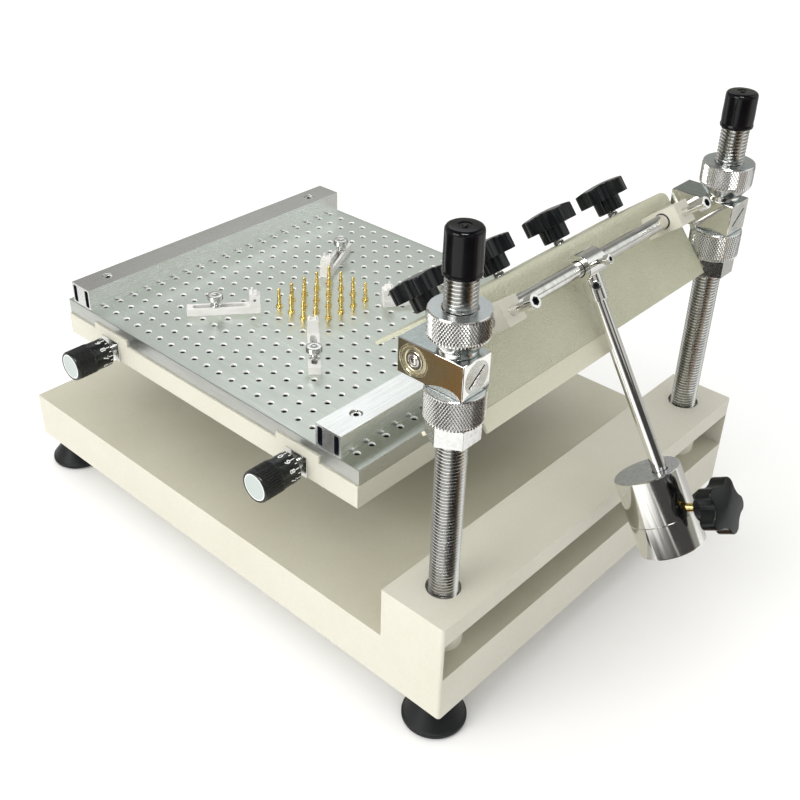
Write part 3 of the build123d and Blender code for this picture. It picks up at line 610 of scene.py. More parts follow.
def cap_screw(z0, z1, z2, rs, rh, af, deep):
    """Socket head screw along Z: shank z0..z1, head z1..z2, hexagon socket; the socket takes the second material, a
    painted shade.
    """
    n = 60
    ring = lambda r, z: [(r * cos(2 * pi * i / n), r * sin(2 * pi * i / n), z) for i in range(n)]

    def hexa(half, z):
        out = []
        for i in range(n):
            a = 2 * pi * i / n
            r = half / cos((a + pi / 6) % (pi / 3) - pi / 6)
            out.append((r * cos(a), r * sin(a), z))
        return out

    h = af / 2
    rings = [ring(rs - 0.3, z0), ring(rs, z0 + 0.3), ring(rs, z1), ring(rs + 0.05, z1), ring(rh - 0.2, z1), ring(rh, z1 + 0.2), ring(rh, z2 - 0.5), ring(rh - 0.15, z2 - 0.15),
             ring(rh - 0.5, z2), ring(h * 1.3, z2), hexa(h + 0.12, z2), hexa(h, z2 - 0.15), hexa(h, z2 - deep)]
    v, f = stack(rings)
    # the socket's walls and floor take the second material: painted shade
    mats = [1 if len(q) == 4 and q[0] // n >= 11 else 0 for q in f]
    mats[-n:] = [1] * n
    return v, f, mats


s = Solid()
for sx in (1, -1):
    s.add(*cap_screw(17.9, 40.0, 46.0, 3.0, 4.8, 5.0, 3.0), at=BEAM @ T(sx * 100.5, 0, -1) @ R("X", -90))
s.build("vis_bracket_screws", ["chrome", "gap_painted_shade"], BODY_OF["bracket_screws"], nodes=("bracket_screws",), slot="chrome", sharp=40)
s = Solid()
s.add(*lathe(soften([(0, -109), (5.5, -109), (5.5, 109), (0, 109)], 0.6, 3), 72))
# thin near-black rings where the shaft enters the brackets: a painted shadow line
for z in (-91.9, 92.1):
    s.add(*lathe([(5.4, z - 0.2), (6.1, z - 0.2), (6.1, z), (5.4, z)], 72, closed=True), mat=1)
s.build("vis_cross_shaft", ["shaft_chrome", "gap_painted_shade"], "shaft", at=BEAM @ T(0, 12, 0) @ R("Y", 90), nodes=("cross_shaft",), slot="ground_steel")


# ---------------------------------------------------------------- star knobs
def star_outline(inset=0.0, R0=20.0, tip=5.5, dip=10.0):
    """Five tips and five dips as tangent arcs, set in by inset."""
    half = radians(36)
    tc = R0 - tip
    dc = tc * cos(half) + sqrt((tip + dip) ** 2 - (tc * sin(half)) ** 2)
    pts = []
    for k in range(5):
        a = radians(90 + 72 * k)
        t = Vector((tc * cos(a), tc * sin(a)))
        b = a + half
        d = Vector((dc * cos(b), dc * sin(b)))
        ray = atan2((d - t).y, (d - t).x) - a
        ray = (ray + pi) % (2 * pi) - pi
        for i in range(23):
            q = a - abs(ray) + 2 * abs(ray) * i / 22
            pts.append((t.x + (tip - inset) * cos(q), t.y + (tip - inset) * sin(q)))
        start = a + abs(ray) + pi
        back = b + pi
        turn = (back - start + pi) % (2 * pi) - pi
        for i in range(1, 16):
            q = start + 2 * turn * i / 16
            pts.append((d.x + (dip + inset) * cos(q), d.y + (dip + inset) * sin(q)))
    return pts


def star_knob(z0, z1, hub_z0):
    """Straight-sided star whose top is one shallow dome."""
    roof = lambda a, b: z1 + 2.3 * max(0.0, 1 - (a * a + b * b) / 400.0)
    out = []
    for inset, z in ((1.6, z0), (0.45, z0), (0.12, z0 + 0.12), (0.0, z0 + 0.45)):
        out.append([(a, b, z) for a, b in star_outline(inset)])
    for inset, drop in ((0.0, 0.6), (0.06, 0.3), (0.22, 0.1), (0.5, 0.0)):
        out.append([(a, b, roof(a, b) - drop) for a, b in star_outline(inset)])
    last = star_outline(0.5)
    for f in (0.95, 0.88, 0.78, 0.66, 0.52, 0.36, 0.18):
        out.append([(a * f, b * f, roof(a * f, b * f)) for a, b in last])
    v, f = stack(out)
    hub = lathe(soften([(0, hub_z0), (9.4, hub_z0), (10.1, hub_z0 + 0.7), (10.2, z0 + 0.6), (0, z0 + 0.6)], 0.3, 3), 80)
    return (v, f), hub


CLAMP_X = (35.0, 105.0, -35.0, -105.0)
for n, x in enumerate(CLAMP_X, 1):
    at = BEAM @ T(x, -34.0, 0) @ R("Z", 17.0 * n)
    star, hub = star_knob(32.0, 43.0, 22.0)
    s = Solid().add(*star).add(*hub)
    s.build(f"vis_star_knob_{n}", "black_plastic", f"clamp_{n}_knob", at=at, nodes=(f"clamp_knob_{n}",), slot="black_plastic", sharp=50)
    s = Solid()
    s.add(*thread(-14.9, 21.5, pitch=1.25, r=4.0, root=3.3, segs=32))
    s.add(*lathe([(0, -14.9), (3.25, -14.9), (3.25, 21.9), (0, 21.9)], 32))
    s.build(f"vis_clamp_screw_{n}", "zinc_steel", f"clamp_{n}_knob", at=at, nodes=(f"clamp_knob_{n}",), slot="zinc_steel", sharp=60)
    tidy(f"clamp_pad_{n}", 0.4, "zinc_steel")

# ---------------------------------------------------------------- counterweight arm
s = Solid()
s.add(*lathe(soften([(6.0, -10), (9.4, -10), (9.8, -9.6), (9.8, 9.6), (9.4, 10), (6.0, 10)], 0.15, 2, closed=True), 96, closed=True), mat=0, at=R("Y", 90))
# near-black ring round the collar's bore: painted shade of the gap round the shaft
s.add(*lathe([(5.6, -9.5), (6.1, -9.5), (6.1, 9.5), (5.6, 9.5)], 96, closed=True), mat=1, at=R("Y", 90))
s.add(*lathe(soften([(5.06, -24.6), (6.7, -25.0), (7.2, -24.5), (7.2, -6.2), (5.06, -6.2)], 0.15, 3, closed=True), 80, closed=True), mat=0)
s.build("vis_arm_collar", ["chrome", "gap_painted_shade"], "arm", at=ARM, nodes=("arm_collar",), slot="chrome")
s = Solid()
s.add(*cap_screw(5.7, 15.8, 20.3, 1.9, 3.4, 3.0, 2.2), at=R("X", -90))
s.add(*cap_screw(5.2, 9.0, 12.5, 1.9, 3.4, 3.0, 2.0), at=R("Z", 45) @ T(0, 0, -13.6) @ R("Y", 90))
s.build("vis_arm_screws", ["chrome", "gap_painted_shade"], "arm", at=ARM, nodes=("arm_screws",), slot="chrome", sharp=40)
s = Solid()
s.add(*lathe(soften([(0, -206), (5, -206), (5, -7.6), (0, -7.6)], 0.7, 3), 72))
s.build("vis_arm_rod", "chrome", "arm", at=ARM, nodes=("arm_rod",), slot="chrome")
SPLIT = -(151.0 + 0.58 * 58.0)


def weight_ring(r, z, off=-11.2, n=120):
    return [(r * cos(2 * pi * i / n), off + r * sin(2 * pi * i / n), z) for i in range(n)]


s = Solid()
low = [weight_ring(22.6, -209), weight_ring(23.3, -208.75), weight_ring(23.5, -208.1), weight_ring(23.5, SPLIT - 0.45), weight_ring(23.15, SPLIT - 0.02), weight_ring(21.0, SPLIT)]
s.add(*stack(low), mat=0)
top = [weight_ring(21.0, SPLIT), weight_ring(23.15, SPLIT + 0.02), weight_ring(23.5, SPLIT + 0.4), weight_ring(23.5, -151.8), weight_ring(23.35, -151.3), weight_ring(22.9, -151.0)]
n_side = len(top)
top += [weight_ring(5.7, -151.0, 0.0), weight_ring(5.3, -151.3, 0.0), weight_ring(5.2, -154.0, 0.0)]
v, f = stack(top)
# the rod's hole in the weight's top takes the third material, a painted shade
s.add(v, f, mat=[0 if len(q) < 4 or q[0] // 120 < n_side - 1 else 1 if q[0] // 120 == n_side - 1 else 2 for q in f])
s.build("vis_counterweight", ["weight_chrome", "weight_face", "gap_painted_shade"], "weight", at=ARM, nodes=("counterweight",), slot="chrome", sharp=30)
star, hub = star_knob(19.0, 30.0, 10.0)
W_AT = ARM @ T(0, 12.3, -180.0) @ R("X", -90)
s = Solid().add(*star).add(*hub)
s.build("vis_weight_knob", "black_plastic", "weight_knob", at=W_AT, nodes=("weight_knob",), slot="black_plastic", sharp=50, bake=True)
s = Solid()
s.add(*thread(-7.0, 9.6, pitch=1.0, r=3.0, root=2.45, segs=28))
s.add(*lathe([(0, -7.0), (2.4, -7.0), (2.4, 9.9), (0, 9.9)], 28))
s.build("vis_weight_screw", "brass", "weight_knob", at=W_AT, nodes=("weight_knob",), slot="brass", sharp=60)


# ---------------------------------------------------------------- dial knobs
def glyph_mesh(text, size):
    cu = bpy.data.curves.new("glyph", "FONT")
    cu.body = text
    cu.size = size
    cu.align_x, cu.align_y = "CENTER", "CENTER"
    cu.resolution_u = 3
    cu.offset = 0.11
    ob = bpy.data.objects.new("glyph", cu)
    bpy.context.scene.collection.objects.link(ob)
    dg = bpy.context.evaluated_depsgraph_get()
    me = bpy.data.meshes.new_from_object(ob.evaluated_get(dg))
    v = [tuple(p.co) for p in me.vertices]
    f = [tuple(p.vertices) for p in me.polygons]
    bpy.data.objects.remove(ob)
    bpy.data.curves.remove(cu)
    bpy.data.meshes.remove(me)
    return v, f


def dial_marks(z1, z2, r, lift=0.06):
    """Ten figures, ten long and ten short strokes wrapped round the dial band."""
    s = Solid()
    inner = r - 0.05

    def wrap(pts, faces, a0, zc):
        outer = []
        for u, w in pts:
            a = a0 + w / r
            outer.append((u, a))
        n = len(outer)
        verts = [((r + lift) * cos(a), (r + lift) * sin(a), zc - u) for u, a in outer] + [(inner * cos(a), inner * sin(a), zc - u) for u, a in outer]
        fs = [tuple(f) for f in faces] + [tuple(reversed([i + n for i in f])) for f in faces]
        edges = {}
        for f in faces:
            for i in range(len(f)):
                e = (f[i], f[(i + 1) % len(f)])
                edges[e] = edges.get(e, 0) + 1
        for (a, b) in edges:
            if (b, a) not in edges:
                fs.append((b, a, a + n, b + n))
        s.add(verts, fs)

    for k in range(10):
        a0 = 2 * pi * k / 10
        v, f = glyph_mesh(str(k), 6.6)
        wrap([(p[1], -p[0]) for p in v], f, a0, z1 + 7.6)
        w = 0.34
        wrap([(-1.85, -w), (1.85, -w), (1.85, w), (-1.85, w)], [(0, 1, 2, 3)], a0, z1 + 2.85)
        wrap([(-1.0, -w), (1.0, -w), (1.0, w), (-1.0, w)], [(0, 1, 2, 3)], a0 + pi / 10, z1 + 2.0)
    return s


def dial(name, body, at, neck, screw, turn):
    z1, z2, z3 = neck, neck + 14.5, neck + 34.5
    at = at @ R("Z", turn)
    s = Solid()
    s.add(*lathe(soften([(0, z1 - 0.3), (11.7, z1), (12.2, z1 + 0.5), (12.2, z2 - 0.3), (11.7, z2), (0, z2)], 0.15, 2), 96))
    # ribbed grip
    n = 40 * 6
    wave = (0.0, 0.0, -0.25, -0.72, -0.72, -0.25)
    ring = lambda r, z, k=0.0: [((r + wave[i % 6] * k) * cos(2 * pi * i / n), (r + wave[i % 6] * k) * sin(2 * pi * i / n), z) for i in range(n)]
    rings = [ring(11.6, z2 - 0.1), ring(12.4, z2 + 0.1), ring(12.7, z2 + 0.5), ring(12.7, z2 + 2.2), ring(12.7, z2 + 3.0, 1.0), ring(12.7, z3 - 3.4, 1.0),
             ring(12.7, z3 - 2.6), ring(12.65, z3 - 1.3), ring(12.2, z3 - 0.45), ring(11.6, z3), ring(10.95, z3), ring(10.7, z3 - 0.25), ring(10.6, z3 - 0.8)]
    s.add(*stack(rings))
    s.build(f"vis_{name}_grip", "black_anodised", body, at=at, nodes=(name,), slot="black_anodised", sharp=32)
    d = Solid()
    d.add(*lathe(soften([(9.7, z3 - 0.9), (10.6, z3 - 0.9), (10.55, z3 - 0.3), (10.2, z3 - 0.15), (9.8, z3 - 0.2)], 0.06, 2, closed=True), 96, closed=True), mat=1)
    d.add(*lathe([(0, z3 - 0.9), (9.78, z3 - 0.9), (9.76, z3 - 0.34), (0, z3 - 0.34)], 96), mat=0)
    d.build(f"vis_{name}_disc", ["end_disc", "end_ring"], body, at=at, nodes=(name,), slot="zinc_steel")
    m = dial_marks(z1, z2, 12.2)
    m.build(f"vis_{name}_marks", "white_ink", body, at=at, nodes=(name,), sharp=None)
    c = Solid()
    c.add(*lathe(soften([(0, 0), (5.5, 0), (5.5, 1.4), (4.9, 1.9), (4.9, z1 - 0.2), (0, z1 - 0.2)], 0.2, 2), 64))
    c.add(*lathe(soften([(0, -screw), (3, -screw), (3, 0), (0, 0)], 0.3, 2), 40))
    c.build(f"vis_{name}_neck", "zinc_steel", body, at=at, nodes=(name,), slot="zinc_steel")


dial("x_dial_knob_front", "x_knob_front", T(151.2, -161.5, 133.5) @ R("Y", 90), 5.8, 92.7, 206)
dial("x_dial_knob_rear", "x_knob_rear", T(151.2, 66.5, 133.5) @ R("Y", 90), 5.8, 92.7, 188)
dial("y_dial_knob", "y_knob", T(0, -199.5, 86.0) @ R("X", 90), 6.5, 108.0, 0)


# ---------------------------------------------------------------- table
def drilled_plate():
    x0, x1, y0, y1, z0, z1 = -148.5, 148.5, -222.5, 127.5, 143.8, 157.5
    hx, hy, cols, rows, pitch = -135.0, -187.5, 19, 21, 15.0
    n, r, rc, ch, ce = 24, 2.3, 2.72, 0.42, 0.55
    ang = [2 * pi * i / n for i in range(n)]
    sq = []
    for a in ang:
        k = 7.5 / max(abs(cos(a)), abs(sin(a)))
        sq.append((round(k * cos(a), 5), round(k * sin(a), 5)))
    verts, faces, mats, index = [], [], [], {}

    def vid(x, y, z):
        key = (round(x, 3), round(y, 3), round(z, 3))
        if key not in index:
            index[key] = len(verts)
            verts.append((x, y, z))
        return index[key]

    for i in range(cols):
        for j in range(rows):
            cx_, cy_ = hx + pitch * i, hy + pitch * j
            loops = [
                [vid(cx_ + a, cy_ + b, z1) for a, b in sq],
                [vid(cx_ + rc * cos(a), cy_ + rc * sin(a), z1) for a in ang],
                [vid(cx_ + r * cos(a), cy_ + r * sin(a), z1 - ch) for a in ang],
                [vid(cx_ + r * cos(a), cy_ + r * sin(a), z0 + 0.3) for a in ang],
                [vid(cx_ + (r + 0.3) * cos(a), cy_ + (r + 0.3) * sin(a), z0) for a in ang],
                [vid(cx_ + a, cy_ + b, z0) for a, b in sq],
            ]
            for q in range(5):
                for k in range(n):
                    k2 = (k + 1) % n
                    faces.append((loops[q][k], loops[q][k2], loops[q + 1][k2], loops[q + 1][k]))
                    # the hole's chamfer and wall take the bore material with its painted shade
                    mats.append((0, 2, 2, 2, 0)[q])
    gx0, gx1 = hx - 7.5, hx + pitch * (cols - 1) + 7.5
    gy0, gy1 = hy - 7.5, hy + pitch * (rows - 1) + 7.5
    steps = sorted({round(b, 5) for a, b in sq if abs(a - 7.5) < 1e-6})
    ys = sorted({round(hy + pitch * j + b, 4) for j in range(rows) for b in steps})
    xs = sorted({round(hx + pitch * i + b, 4) for i in range(cols) for b in steps})
    # outer rim: top inset, side, bottom, following the grid's own boundary points
    boundary = [(x, gy0) for x in xs[:-1]] + [(gx1, y) for y in ys[:-1]] + [(x, gy1) for x in reversed(xs[1:])] + [(gx0, y) for y in reversed(ys[1:])]

    def push(p, inset):
        x, y = p
        ax = x0 + inset if abs(x - gx0) < 1e-3 else x1 - inset if abs(x - gx1) < 1e-3 else x
        ay = y0 + inset if abs(y - gy0) < 1e-3 else y1 - inset if abs(y - gy1) < 1e-3 else y
        return ax, ay

    rings = [[vid(p[0], p[1], z1) for p in boundary]]
    for inset, z in ((ce, z1), (0.12, z1 - 0.22), (0.0, z1 - ce), (0.0, z0 + 0.4), (0.4, z0)):
        rings.append([vid(*push(p, inset), z) for p in boundary])
    rings.append([vid(p[0], p[1], z0) for p in boundary])
    nb = len(boundary)
    for q in range(len(rings) - 1):
        for k in range(nb):
            k2 = (k + 1) % nb
            faces.append((rings[q][k], rings[q][k2], rings[q + 1][k2], rings[q + 1][k]))
            mats.append(0 if q in (0, 5) else 1 if q < 3 else 1)
    return verts, faces, mats


s = Solid()
s.add(*drilled_plate())
s.build("vis_table_plate", ["brushed_plate", "plate_edge", "plate_bore_painted_shade"], "table", nodes=("table_plate",), slot="brushed_plate", sharp=30)
tidy("table_frame", 0.45, "cream_paint", segs=2)
tidy("knob_flanges", 0.25, "zinc_steel")
tidy("table_slide_blocks", 0.4, "cast_aluminium")


def rail_faces(yc):
    def pick(c, n):
        # faces inside the slots take the painted shade
        inside = 5.6 < abs(c.y - yc) < 10.8 and 159.0 < c.z < 175.0 and abs(n.x) < 0.7 and abs(c.x) <= 148.0
        hole = 171.9 < c.z < 176.3 and abs(n.z) < 0.5 and abs(abs(c.x) - 120.0) < 5.3 and abs(c.y - yc) < 5.3
        # the front rail's top takes the darker copy: painted shade
        return 1 if inside else 2 if hole else 3 if yc < 0 and n.z > 0.8 and c.z > 176.0 else 0
    return pick


tidy("rail_front", 0.25, ["rail_aluminium", "slot_painted_shade", "bore_bright", "rail_top_painted_shade"], segs=2, mat_by=rail_faces(-202.5))
tidy("rail_back", 0.25, ["rail_aluminium", "slot_painted_shade", "bore_bright"], segs=2, mat_by=rail_faces(97.0))
s = Solid()
for yc in (-202.5, 97.0):
    for x in (120.0, -120.0):
        s.add(*cap_screw(157.7, 172.1, 175.3, 1.95, 4.2, 4.0, 2.0), at=T(x, yc, 0))
s.build("vis_rail_screws", ["zinc_steel", "gap_painted_shade"], BODY_OF["rail_screws"], nodes=("rail_screws",), slot="zinc_steel", sharp=40)
tidy("guide_bed", 0.4, "cast_aluminium")
tidy("cross_carriage", 0.4, "cast_aluminium")
tidy("y_guide_rods", 0.5, "ground_steel")
tidy("x_guide_rods", 0.5, "ground_steel")

s = Solid()
prof = [(0, -6), (2.2, -6), (2.2, 0), (2.85, 0), (2.85, 1.5), (1.7, 1.65), (1.7, 10.4), (1.4, 10.9), (1.4, 16.3), (0.85, 17.2), (0, 17.2)]
pin = lathe(soften(prof, 0.15, 2), 28)
for i in range(7, 12):
    for j in range(7, 11):
        s.add(*pin, at=T(135.0 - 15.0 * i, -187.5 + 15.0 * j, 157.5))
s.build("vis_support_pins", "brass", "table", nodes=("support_pins",), slot="brass")

HOLD = (((75.0, -112.5), (49.7, -91.3)), ((-75.0, -112.5), (-39.0, -94.5)), ((75.0, 7.5), (45.8, -24.0)), ((-75.0, 7.5), (-37.5, -18.0)))
for n, (hole, inner) in enumerate(HOLD, 1):
    tidy(f"holder_bar_{n}", 0.25, "holder_aluminium")
    ang = degrees(atan2(hole[1] - inner[1], hole[0] - inner[0]))
    at = T(hole[0], hole[1], 157.5) @ R("Z", ang)
    s = Solid()
    s.add(*lathe(soften([(0, -7), (2.2, -7), (2.25, 6.65), (4.6, 6.65), (4.6, 8.1), (2.6, 8.3), (2.6, 12.8), (0, 12.8)], 0.2, 2), 48))
    m = 48 * 2
    ring = lambda r, z, k=0.0: [((r - (k if i % 2 else 0)) * cos(2 * pi * i / m), (r - (k if i % 2 else 0)) * sin(2 * pi * i / m), z) for i in range(m)]
    s.add(*stack([ring(5.9, 12.7), ring(6.3, 12.85), ring(6.5, 13.2, 0.22), ring(6.5, 16.8, 0.22), ring(6.3, 17.2), ring(5.6, 17.5), ring(3.0, 17.5), ring(2.6, 17.2)]))
    s.build(f"vis_holder_screw_{n}", "nickel_nut", f"holder_{n}_screw", at=at, nodes=(f"holder_screw_{n}",), slot="chrome")

# ---------------------------------------------------------------- stage
floor_mat, nt, b = new_mat("stage_floor", specular=0.2, rough=0.9)
fv = coords(nt)
nt.links.new(mix_color(nt, ramp(nt, noise(nt, fv, 3.0, 2.0), (0.3, 0.7, 0.0, 1.0)), (0.955, 0.955, 0.95), (0.945, 0.945, 0.94)), b.inputs["Base Color"])
me = bpy.data.meshes.new("stage_floor")
me.from_pydata([(-12, -12, -0.0004), (12, -12, -0.0004), (12, 12, -0.0004), (-12, 12, -0.0004)], [], [(0, 1, 2, 3)])
me.materials.append(floor_mat)
floor = bpy.data.objects.new("stage_floor", me)
bpy.context.scene.collection.objects.link(floor)
floor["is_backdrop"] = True


def surround(centre, inner, outer):
    """A ring lying just above the floor that only reflections meet: dark and light sectors round the object."""
    m = bpy.data.materials.new("surround")
    m.use_nodes = True
    nt = m.node_tree
    nt.nodes.clear()
    out = nt.nodes.new("ShaderNodeOutputMaterial")
    v = coords(nt)
    sep = nt.nodes.new("ShaderNodeSeparateXYZ")
    nt.links.new(v, sep.inputs[0])
    hit = math_node(nt, "MAXIMUM", sep.outputs["X"], math_node(nt, "MULTIPLY", math_node(nt, "ABSOLUTE", sep.outputs["Y"]), ramp(nt, sep.outputs["Y"], (-0.05, 0.05, 0.0, 4.0))))
    hit = math_node(nt, "MAXIMUM", hit, math_node(nt, "MULTIPLY", sep.outputs["X"], -4.0))
    ang = nt.nodes.new("ShaderNodeMath")
    ang.operation = "ARCTAN2"
    nt.links.new(sep.outputs["Y"], ang.inputs[0])
    nt.links.new(sep.outputs["X"], ang.inputs[1])
    wob = ramp(nt, noise(nt, v, 5.0, 3.0), (0.3, 0.7, -0.012, 0.012))
    fac = math_node(nt, "ADD", ramp(nt, ang.outputs[0], (-pi, pi, 0.0, 1.0)), wob)
    cr = nt.nodes.new("ShaderNodeValToRGB")
    cr.color_ramp.interpolation = "LINEAR"
    stops = [(-180, (0.30, 0.29, 0.26), 0.7), (-72, (0.22, 0.20, 0.17), 0.7), (-58, (0.050, 0.036, 0.018), 1.0), (-38, (0.030, 0.022, 0.012), 1.0), (-28, (0.165, 0.140, 0.085), 1.0), (-21, (0.220, 0.120, 0.040), 1.0), (-14, (0.5, 0.5, 0.5), 0.0), (28, (0.6, 0.6, 0.6), 0.0),
             (40, (0.10, 0.095, 0.085), 0.9), (52, (0.02, 0.017, 0.014), 1.0), (88, (0.03, 0.024, 0.018), 1.0), (96, (0.34, 0.18, 0.05), 0.95), (108, (0.36, 0.20, 0.06), 0.9), (114, (0.8, 0.8, 0.8), 0.1), (134, (0.8, 0.8, 0.8), 0.1), (150, (0.34, 0.33, 0.30), 0.7), (180, (0.30, 0.29, 0.26), 0.7)]
    e = cr.color_ramp.elements
    e[0].color = (*stops[0][1], stops[0][2])
    e[1].color = (*stops[-1][1], stops[-1][2])
    for deg, col, al in stops[1:-1]:
        e.new((deg + 180) / 360).color = (*col, al)
    nt.links.new(fac, cr.inputs["Fac"])
    em = nt.nodes.new("ShaderNodeEmission")
    nt.links.new(cr.outputs["Color"], em.inputs["Color"])
    clear = nt.nodes.new("ShaderNodeBsdfTransparent")
    mx = nt.nodes.new("ShaderNodeMixShader")
    nt.links.new(math_node(nt, "MULTIPLY", cr.outputs["Alpha"], ramp(nt, hit, (0.17, 0.38, 0.0, 1.0))), mx.inputs[0])
    nt.links.new(clear.outputs[0], mx.inputs[1])
    nt.links.new(em.outputs[0], mx.inputs[2])
    nt.links.new(mx.outputs[0], out.inputs["Surface"])
    n = 96
    verts = [(r * cos(2 * pi * i / n), r * sin(2 * pi * i / n), 0) for r in (inner, outer) for i in range(n)]
    me = bpy.data.meshes.new("surround")
    me.from_pydata(verts, [], [(i, (i + 1) % n, n + (i + 1) % n, n + i) for i in range(n)])
    me.materials.append(m)
    ob = bpy.data.objects.new("surround", me)
    bpy.context.scene.collection.objects.link(ob)
    ob.matrix_world = Matrix.Translation((centre[0], centre[1], 0.0006))
    ob.visible_camera = ob.visible_diffuse = ob.visible_shadow = ob.visible_transmission = ob.visible_volume_scatter = False
    ob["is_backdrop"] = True
    return ob


surround((0.06, 0.14), 0.16, 4.0)

world = bpy.data.worlds.new("studio")
bpy.context.scene.world = world
world.use_nodes = True
nt = world.node_tree
nt.nodes.clear()
out = nt.nodes.new("ShaderNodeOutputWorld")
tc = nt.nodes.new("ShaderNodeTexCoord")
sep = nt.nodes.new("ShaderNodeSeparateXYZ")
nt.links.new(tc.outputs["Generated"], sep.inputs[0])


def sky(stops, strength, shade=0.0):
    """Background whose colour follows the height above the horizon (0 level, 1 overhead)."""
    cr = nt.nodes.new("ShaderNodeValToRGB")
    cr.color_ramp.interpolation = "EASE"
    e = cr.color_ramp.elements
    e[0].position, e[0].color = stops[0][0], (*stops[0][1], 1)
    e[1].position, e[1].color = stops[-1][0], (*stops[-1][1], 1)
    for pos, col in stops[1:-1]:
        e.new(pos).color = (*col, 1)
    nt.links.new(sep.outputs["Z"], cr.inputs["Fac"])
    bg = nt.nodes.new("ShaderNodeBackground")
    nt.links.new(cr.outputs["Color"], bg.inputs["Color"])
    if shade:
        nt.links.new(ramp(nt, sep.outputs["Y"], (-0.3, 0.9, strength * 1.05, strength * shade)), bg.inputs["Strength"])
    else:
        bg.inputs["Strength"].default_value = strength
    return bg.outputs[0]


soft_sky = sky([(0.0, (1.0, 1.0, 0.99)), (0.6, (0.98, 0.98, 0.97)), (1.0, (0.72, 0.72, 0.71))], 1.32, 0.70)
dim_sky = sky([(0.0, (0.34, 0.33, 0.29)), (0.35, (0.42, 0.42, 0.38)), (0.62, (0.28, 0.28, 0.27)), (0.80, (0.10, 0.095, 0.09)), (1.0, (0.05, 0.046, 0.042))], 0.9)
window = nt.nodes.new("ShaderNodeBackground")
window.inputs["Color"].default_value = (0.97, 1.0, 1.0, 1)
window.inputs["Strength"].default_value = 1.32
dot = nt.nodes.new("ShaderNodeVectorMath")
dot.operation = "DOT_PRODUCT"
w_az, w_el = radians(226.0), radians(41.0)
dot.inputs[1].default_value = (cos(w_el) * cos(w_az), cos(w_el) * sin(w_az), sin(w_el))
nt.links.new(tc.outputs["Generated"], dot.inputs[0])
mw = nt.nodes.new("ShaderNodeMixShader")
nt.links.new(ramp(nt, dot.outputs["Value"], (0.955, 0.992, 0.0, 1.0)), mw.inputs[0])
nt.links.new(dim_sky, mw.inputs[1])
nt.links.new(window.outputs[0], mw.inputs[2])
side = nt.nodes.new("ShaderNodeBackground")
side.inputs["Color"].default_value = (0.97, 1.0, 0.98, 1)
side.inputs["Strength"].default_value = 1.0
dot2 = nt.nodes.new("ShaderNodeVectorMath")
dot2.operation = "DOT_PRODUCT"
s_az, s_el = radians(140.0), radians(33.0)
dot2.inputs[1].default_value = (cos(s_el) * cos(s_az), cos(s_el) * sin(s_az), sin(s_el))
nt.links.new(tc.outputs["Generated"], dot2.inputs[0])
mw2 = nt.nodes.new("ShaderNodeMixShader")
nt.links.new(ramp(nt, dot2.outputs["Value"], (0.86, 0.96, 0.0, 1.0)), mw2.inputs[0])
nt.links.new(mw.outputs[0], mw2.inputs[1])
nt.links.new(side.outputs[0], mw2.inputs[2])
dusk = nt.nodes.new("ShaderNodeBackground")
dusk.inputs["Color"].default_value = (1.0, 0.98, 0.96, 1)
dusk.inputs["Strength"].default_value = 0.055
dot3 = nt.nodes.new("ShaderNodeVectorMath")
dot3.operation = "DOT_PRODUCT"
d_az, d_el = radians(72.0), radians(14.0)
dot3.inputs[1].default_value = (cos(d_el) * cos(d_az), cos(d_el) * sin(d_az), sin(d_el))
nt.links.new(tc.outputs["Generated"], dot3.inputs[0])
mw3 = nt.nodes.new("ShaderNodeMixShader")
nt.links.new(ramp(nt, dot3.outputs["Value"], (0.74, 0.86, 0.0, 1.0)), mw3.inputs[0])
nt.links.new(mw2.outputs[0], mw3.inputs[1])
nt.links.new(dusk.outputs[0], mw3.inputs[2])
mirror_sky = mw3.outputs[0]
seen = nt.nodes.new("ShaderNodeBackground")
seen.inputs["Color"].default_value = (1.0, 1.0, 1.0, 1)
seen.inputs["Strength"].default_value = 1.0
lp = nt.nodes.new("ShaderNodeLightPath")
m1 = nt.nodes.new("ShaderNodeMixShader")
nt.links.new(lp.outputs["Is Glossy Ray"], m1.inputs[0])
nt.links.new(soft_sky, m1.inputs[1])
nt.links.new(mirror_sky, m1.inputs[2])
m2 = nt.nodes.new("ShaderNodeMixShader")
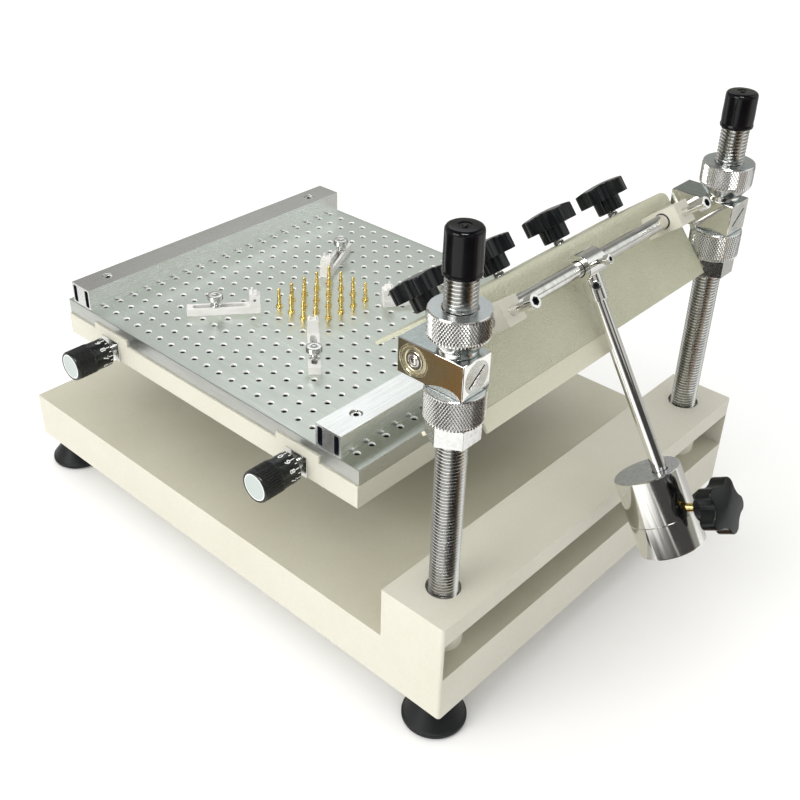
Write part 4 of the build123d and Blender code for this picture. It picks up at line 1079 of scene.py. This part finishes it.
nt.links.new(lp.outputs["Is Camera Ray"], m2.inputs[0])
nt.links.new(m1.outputs[0], m2.inputs[1])
nt.links.new(seen.outputs[0], m2.inputs[2])
nt.links.new(m2.outputs[0], out.inputs["Surface"])


def area(name, loc, target, size, power, color=(1, 1, 1), size_y=None):
    d = bpy.data.lights.new(name, "AREA")
    d.energy, d.color = power, color
    d.size = size
    if size_y:
        d.shape = "RECTANGLE"
        d.size_y = size_y
    o = bpy.data.objects.new(name, d)
    bpy.context.scene.collection.objects.link(o)
    o.location = loc
    o.rotation_euler = (Vector(target) - Vector(loc)).to_track_quat("-Z", "Y").to_euler()
    return o


glint = area("glint", (0.62, 0.585, 1.55), (0.05, 0.1, 0.25), 0.60, 15.0, (1.0, 1.0, 1.0), 0.45)
glint.visible_diffuse = False
area("key", (1.95, -0.25, 1.15), (0, 0, 0.12), 1.2, 22.0, (1.0, 0.99, 0.97), 1.2)
area("fill", (0.55, 1.9, 1.2), (0, 0, 0.15), 1.2, 1.6, (1.0, 0.99, 0.97), 0.9)

# ---------------------------------------------------------------- camera
cam = bpy.data.cameras.new("camera")
cam_ob = bpy.data.objects.new("camera", cam)
bpy.context.scene.collection.objects.link(cam_ob)
cam.sensor_width = 36.0
cam.lens = 49.41
cam.shift_x, cam.shift_y = 0.0356, -0.0385
cam.clip_start, cam.clip_end = 0.02, 60.0
az, el, roll = radians(43.13), radians(32.26), radians(0.71)
back = Vector((cos(el) * cos(az), cos(el) * sin(az), sin(el)))
right = Vector((0, 0, 1)).cross(back).normalized()
up = back.cross(right)
r2 = right * cos(roll) + up * sin(roll)
u2 = up * cos(roll) - right * sin(roll)
cam_ob.matrix_world = Matrix(((r2.x, u2.x, back.x, 0.5793), (r2.y, u2.y, back.y, 0.5416), (r2.z, u2.z, back.z, 0.6169), (0, 0, 0, 1)))
bpy.context.scene.camera = cam_ob
bpy.context.scene.view_settings.view_transform = "Standard"
bpy.context.scene.view_settings.look = "None"

low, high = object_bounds()
